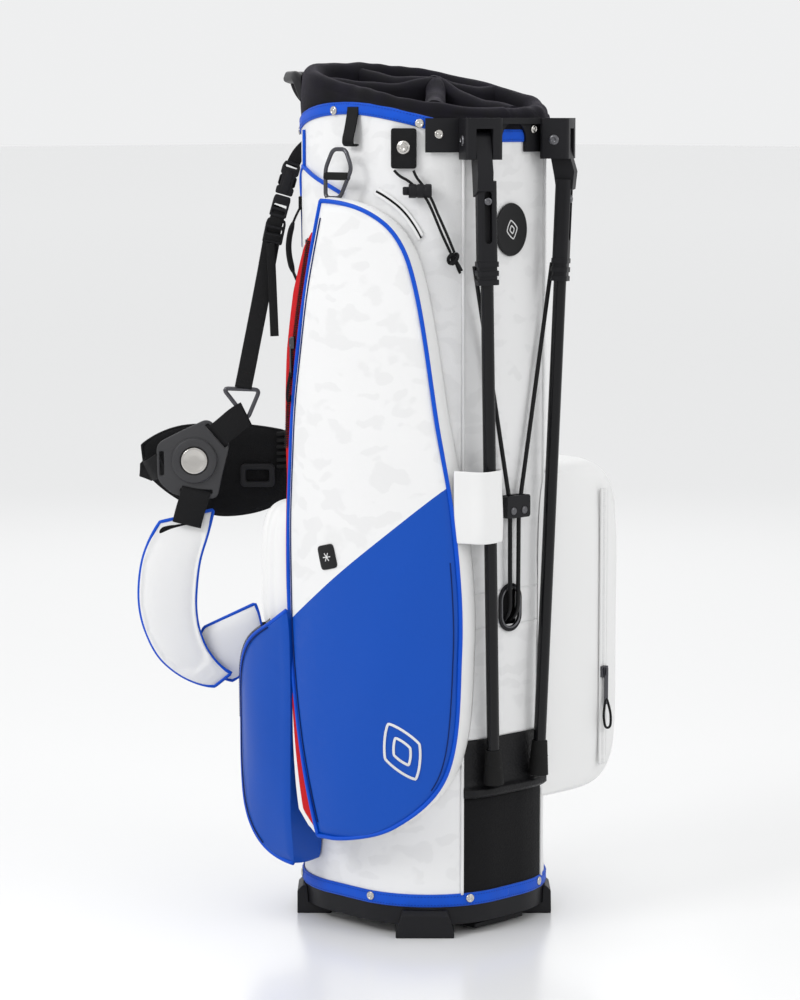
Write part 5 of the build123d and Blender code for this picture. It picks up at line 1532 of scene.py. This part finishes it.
for start in (9.0, 16.8, 24.6):
    tooth = cornered([(start - 1, -8.4), (start - 1, 8.4), (start + 1, 8.4), (start + 1, -8.4)], 0.8, 4)
    flat_part(f"ladder_tooth_{round(start)}", [lock_line(tooth)], -30, -27.6, 0.7, black_moulding, "black_plastic")

ring_line = cornered([(-212.3, 550.6), (-173.4, 549.2), (-186.8, 517.6)], 6, 8)
ring_line = np.concatenate([ring_line, ring_line[:1]])
ring_line = hung(np.concatenate([ring_line, np.full((len(ring_line), 1), -33.5)], 1))
made("strap_ring_wire", swept("strap_ring_wire", evenly(ring_line, 1.6)[:-1], circle(2.3, 12), strap_w, closed=True),
     gunmetal, "gunmetal", nodes=["strap_ring"])

hub = np.array([-243.0, 474.0])
hub_outline = cornered([(-283, 492), (-262, 503), (-228, 519), (-205, 493), (-214, 458), (-219, 433), (-265, 437),
                        (-282, 452)], 8, 7)
hub_slots = [cornered(on_line(start, end)([(0, -2.3), (0, 2.3), (length, 2.3), (length, -2.3)]), 1.4, 4)
             for start, end, length in (((-230, 512.6), (-209, 488.4), 32), ((-277.5, 458), (-277.5, 484), 26),
                                        ((-258, 442.4), (-224, 440.6), 34))]
grey_moulding = finish("grey_moulding", (0.055, 0.055, 0.058), 0.42, grain_group, 1400.0, 0.12, dark=0.8)
flat_part("hub_plate_body", [hub_outline, *hub_slots], -36, -32, 1.1, grey_moulding, "black_plastic", ["hub_plate"])
hub_centre = hung((hub[0], hub[1], -32.0))
ring_profile = [(15.0, -0.8), (15.0, 2.6), (15.7, 3.4), (22.6, 3.4), (23.7, 2.6), (24.2, 0.6), (24.4, -1.2)]
turned("hub_ring", [(hub_centre, strap_w)], ring_profile, grey_moulding, "black_plastic", sides=64)
disc_profile = [(14.6, -0.6), (14.6, 2.6), (13.6, 4.2), (12.4, 4.5), (10.8, 4.2), (9.6, 3.5), (5.0, 3.3), (1.0, 3.25)]
turned("hub_disc", [(hub_centre, strap_w)], disc_profile, nickel, "nickel", sides=64)

# ---------------------------------------------------------------- webbing of the harness
# All straps are black polypropylene webbing, cut to length and bar-tacked. The long strap is
# folded over the ring at its foot, and its loose tail hangs below the ladder lock.


def strap(name, points, width, thickness=2.0, nodes=()):
    """A strap in the harness plane along points of u, height and w."""
    path = hung(through(points, 60))
    return ribbon(name, path, strap_w, width, thickness, nodes=nodes)


strap("anchor_strap", [(-112, 812, -32), (-122, 806, -33), (-131, 797, -32), (-138.2, 783.5, -31)], 14, 2.4,
      ["harness_webbing"])
strap("buckle_strap", [(-150.2, 741, -32), (-153.2, 733, -29), (-156.5, 722, -30), (-158.3, 712, -33)], 15)
strap("long_strap", [(-158.6, 714, -28.5), (-161.5, 700, -30.5), (-166, 676, -33), (-173, 640, -33.6),
                     (-181, 600, -32.6), (-188.5, 563, -31.5), (-191, 551, -30.6)], 18)
strap("long_strap_fold", [(-190.8, 552.5, -36.2), (-187.5, 568, -35.2), (-184, 585, -34.9)], 18, 1.8)
strap("strap_tail", [(-161, 704, -27.4), (-160.5, 690, -26.4), (-159.4, 660, -27.4), (-158.3, 630, -28.6),
                     (-157.4, 606, -28.2)], 9, 1.8)
strap("hub_strap", [(-187.5, 524, -30.6), (-197, 518.5, -29.4), (-209, 508.5, -29.2), (-218.5, 500.5, -32)], 27)
strap("pad_near_strap", [(-241, 443.5, -32), (-243.5, 434, -29.2), (-248, 420, -32), (-252, 405, -38)], 31)
strap("pad_far_strap", [(-276.5, 471.5, -33), (-282, 468, -38), (-289, 463, -46), (-294, 460, -60),
                        (-292, 462, -84)], 23)
strap("near_pad_tail_strap", [(-176, 283, -64), (-150, 286.5, -65.5), (-125, 289, -66), (-86, 293, -66)], 25)
strap("far_pad_tail_strap", [(-146, 465, -93), (-120, 467.5, -94.5), (-92, 469, -94), (-60, 470, -93)], 25)
for name, low, high in (("fold", (-190.4, 556, -28.8), (-187, 571, -30.0)),
                        ("upper", (-166, 680, -31.6), (-164.6, 688, -31.0))):
    for share in (0.2, 0.8):
        row = np.array(low) + (np.array(high) - low) * share
        bar_tack = hung(np.stack([np.linspace(row[0] - 7.5, row[0] + 7.5, 8),
                                  np.linspace(row[1] + 1.6, row[1] - 1.6, 8), np.full(8, row[2] + 0.1)], 1))
        stitched(f"bar_tack_{name}_{round(share * 10)}", bar_tack, strap_w, black_thread, "webbing", lift=0.3)

# ---------------------------------------------------------------- shoulder pads
# Each pad is foam between a white coated face and black mesh, closed with a blue piped edge.
# A cloth solver with air pressure plumps both, so the faces bulge between the held seams.


def pad(name, left, right, low_w, high_w, face, back_face, node, rows=64, columns=26, power=2.6, sag=0.0):
    """A padded strap between two edge curves of u and height; its section is a superellipse."""
    left, right = (evenly(edge, 1.0) for edge in (left, right))
    left, right = (edge[np.linspace(0, len(edge) - 1, rows).round().astype(int)] for edge in (left, right))
    a = np.sin(np.linspace(-1, 1, columns) * math.pi / 2)
    t = np.sin(np.linspace(-1, 1, rows) * math.pi / 2)
    full = (1 - np.abs(a[None, :]) ** power) ** (1 / power) * (1 - np.abs(t[:, None]) ** 6) ** (1 / 3)
    share = (a[None, :, None] + 1) / 2
    flat = left[:, None] * (1 - share) + right[:, None] * share
    middle = (low_w + high_w) / 2 + sag * np.sin(np.linspace(0, math.pi, rows))[:, None]
    half = (high_w - low_w) / 2 - 1.2
    front = np.concatenate([flat, (middle + half * full)[..., None]], -1)
    back = np.concatenate([flat, (middle - half * full)[..., None]], -1)
    front, back = hung(front), hung(back)
    row, column = border(rows, columns)
    edge = np.stack([front[row, column], back[row, column]], 1)
    mesh = close_shell(name, front, edge, back)
    piece = made(name, mesh, face, "white_fabric", nodes=[node] if node else [])
    mesh.materials.append(back_face)
    mesh.materials.append(back_face)
    seam = edge.mean(1)
    inflate(piece, near_line(seam, 1.2), pressure=4.0, cap=3.5)
    piece.modifiers.new("smooth", "SUBSURF").render_levels = 1
    piece.modifiers["smooth"].levels = 1
    return seam


near_left = through([(-281, 407), (-297, 375), (-303, 345), (-303, 315), (-297, 290), (-283, 262), (-262, 243),
                     (-240, 232.5), (-224, 229.5)], 200)
near_right = through([(-224, 420), (-230, 396), (-239, 366), (-243, 335), (-243.5, 312), (-240, 290), (-231, 268),
                      (-216, 250), (-206, 244)], 200)
seam = pad("pad_near_cushion", near_left, near_right, -54, -36, plain_white, black_knit, "pad_near", sag=1.5)
line = np.concatenate([seam, seam[:1]])
made("pad_near_piping", swept("pad_near_piping", evenly(line, 3.0)[:-1], circle(1.9, 8), strap_w, closed=True),
     blue_piping, "blue_fabric")
lower_left = through([(-252, 247), (-246, 262), (-241, 277), (-236, 291)], 100)
lower_right = through([(-206, 233), (-186, 248), (-172, 264), (-176, 300), (-181, 317)], 100)
seam = pad("pad_near_return", lower_left, lower_right, -67, -51, plain_white, black_knit, None, rows=40, columns=30)
line = np.concatenate([seam, seam[:1]])
made("pad_return_piping", swept("pad_return_piping", evenly(line, 3.0)[:-1], circle(1.8, 8), strap_w, closed=True),
     blue_piping, "blue_fabric")
far_upper = through([(-303, 484), (-284, 496), (-262, 503.5), (-232, 506), (-206, 506), (-176, 503.5),
                     (-150, 499)], 160)
far_lower = through([(-300, 457), (-282, 439), (-262, 425), (-238, 413), (-216, 408.5), (-176, 414), (-142, 431)], 160)
seam = pad("pad_far_cushion", far_lower, far_upper, -103, -84, black_knit, black_knit, "pad_far", sag=-1.0)
line = np.concatenate([seam, seam[:1]])
made("pad_far_piping", swept("pad_far_piping", evenly(line, 3.0)[:-1], circle(1.8, 8), strap_w, closed=True),
     black_cloth, "webbing")
loop_outer = cornered([(-197, 440), (-197, 465), (-160, 465), (-160, 440)], 6, 7)
loop_inner = cornered([(-191, 446), (-191, 459), (-166, 459), (-166, 446)], 3, 6)
flat_part("pad_far_loop", [loop_outer, loop_inner], -85.5, -81, 1.0, black_moulding, "black_plastic")
for number in range(6):
    z = 462 + number * 7
    ridge = cornered([(-158, z - 2), (-158, z + 2), (-144, z + 2.6), (-144, z - 1.4)], 1.4, 4)
    flat_part(f"pad_far_ridge_{number + 1}", [ridge], -88.5, -83.2, 0.9, rubber, "rubber")

# ---------------------------------------------------------------- bounds of the bag
low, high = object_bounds()
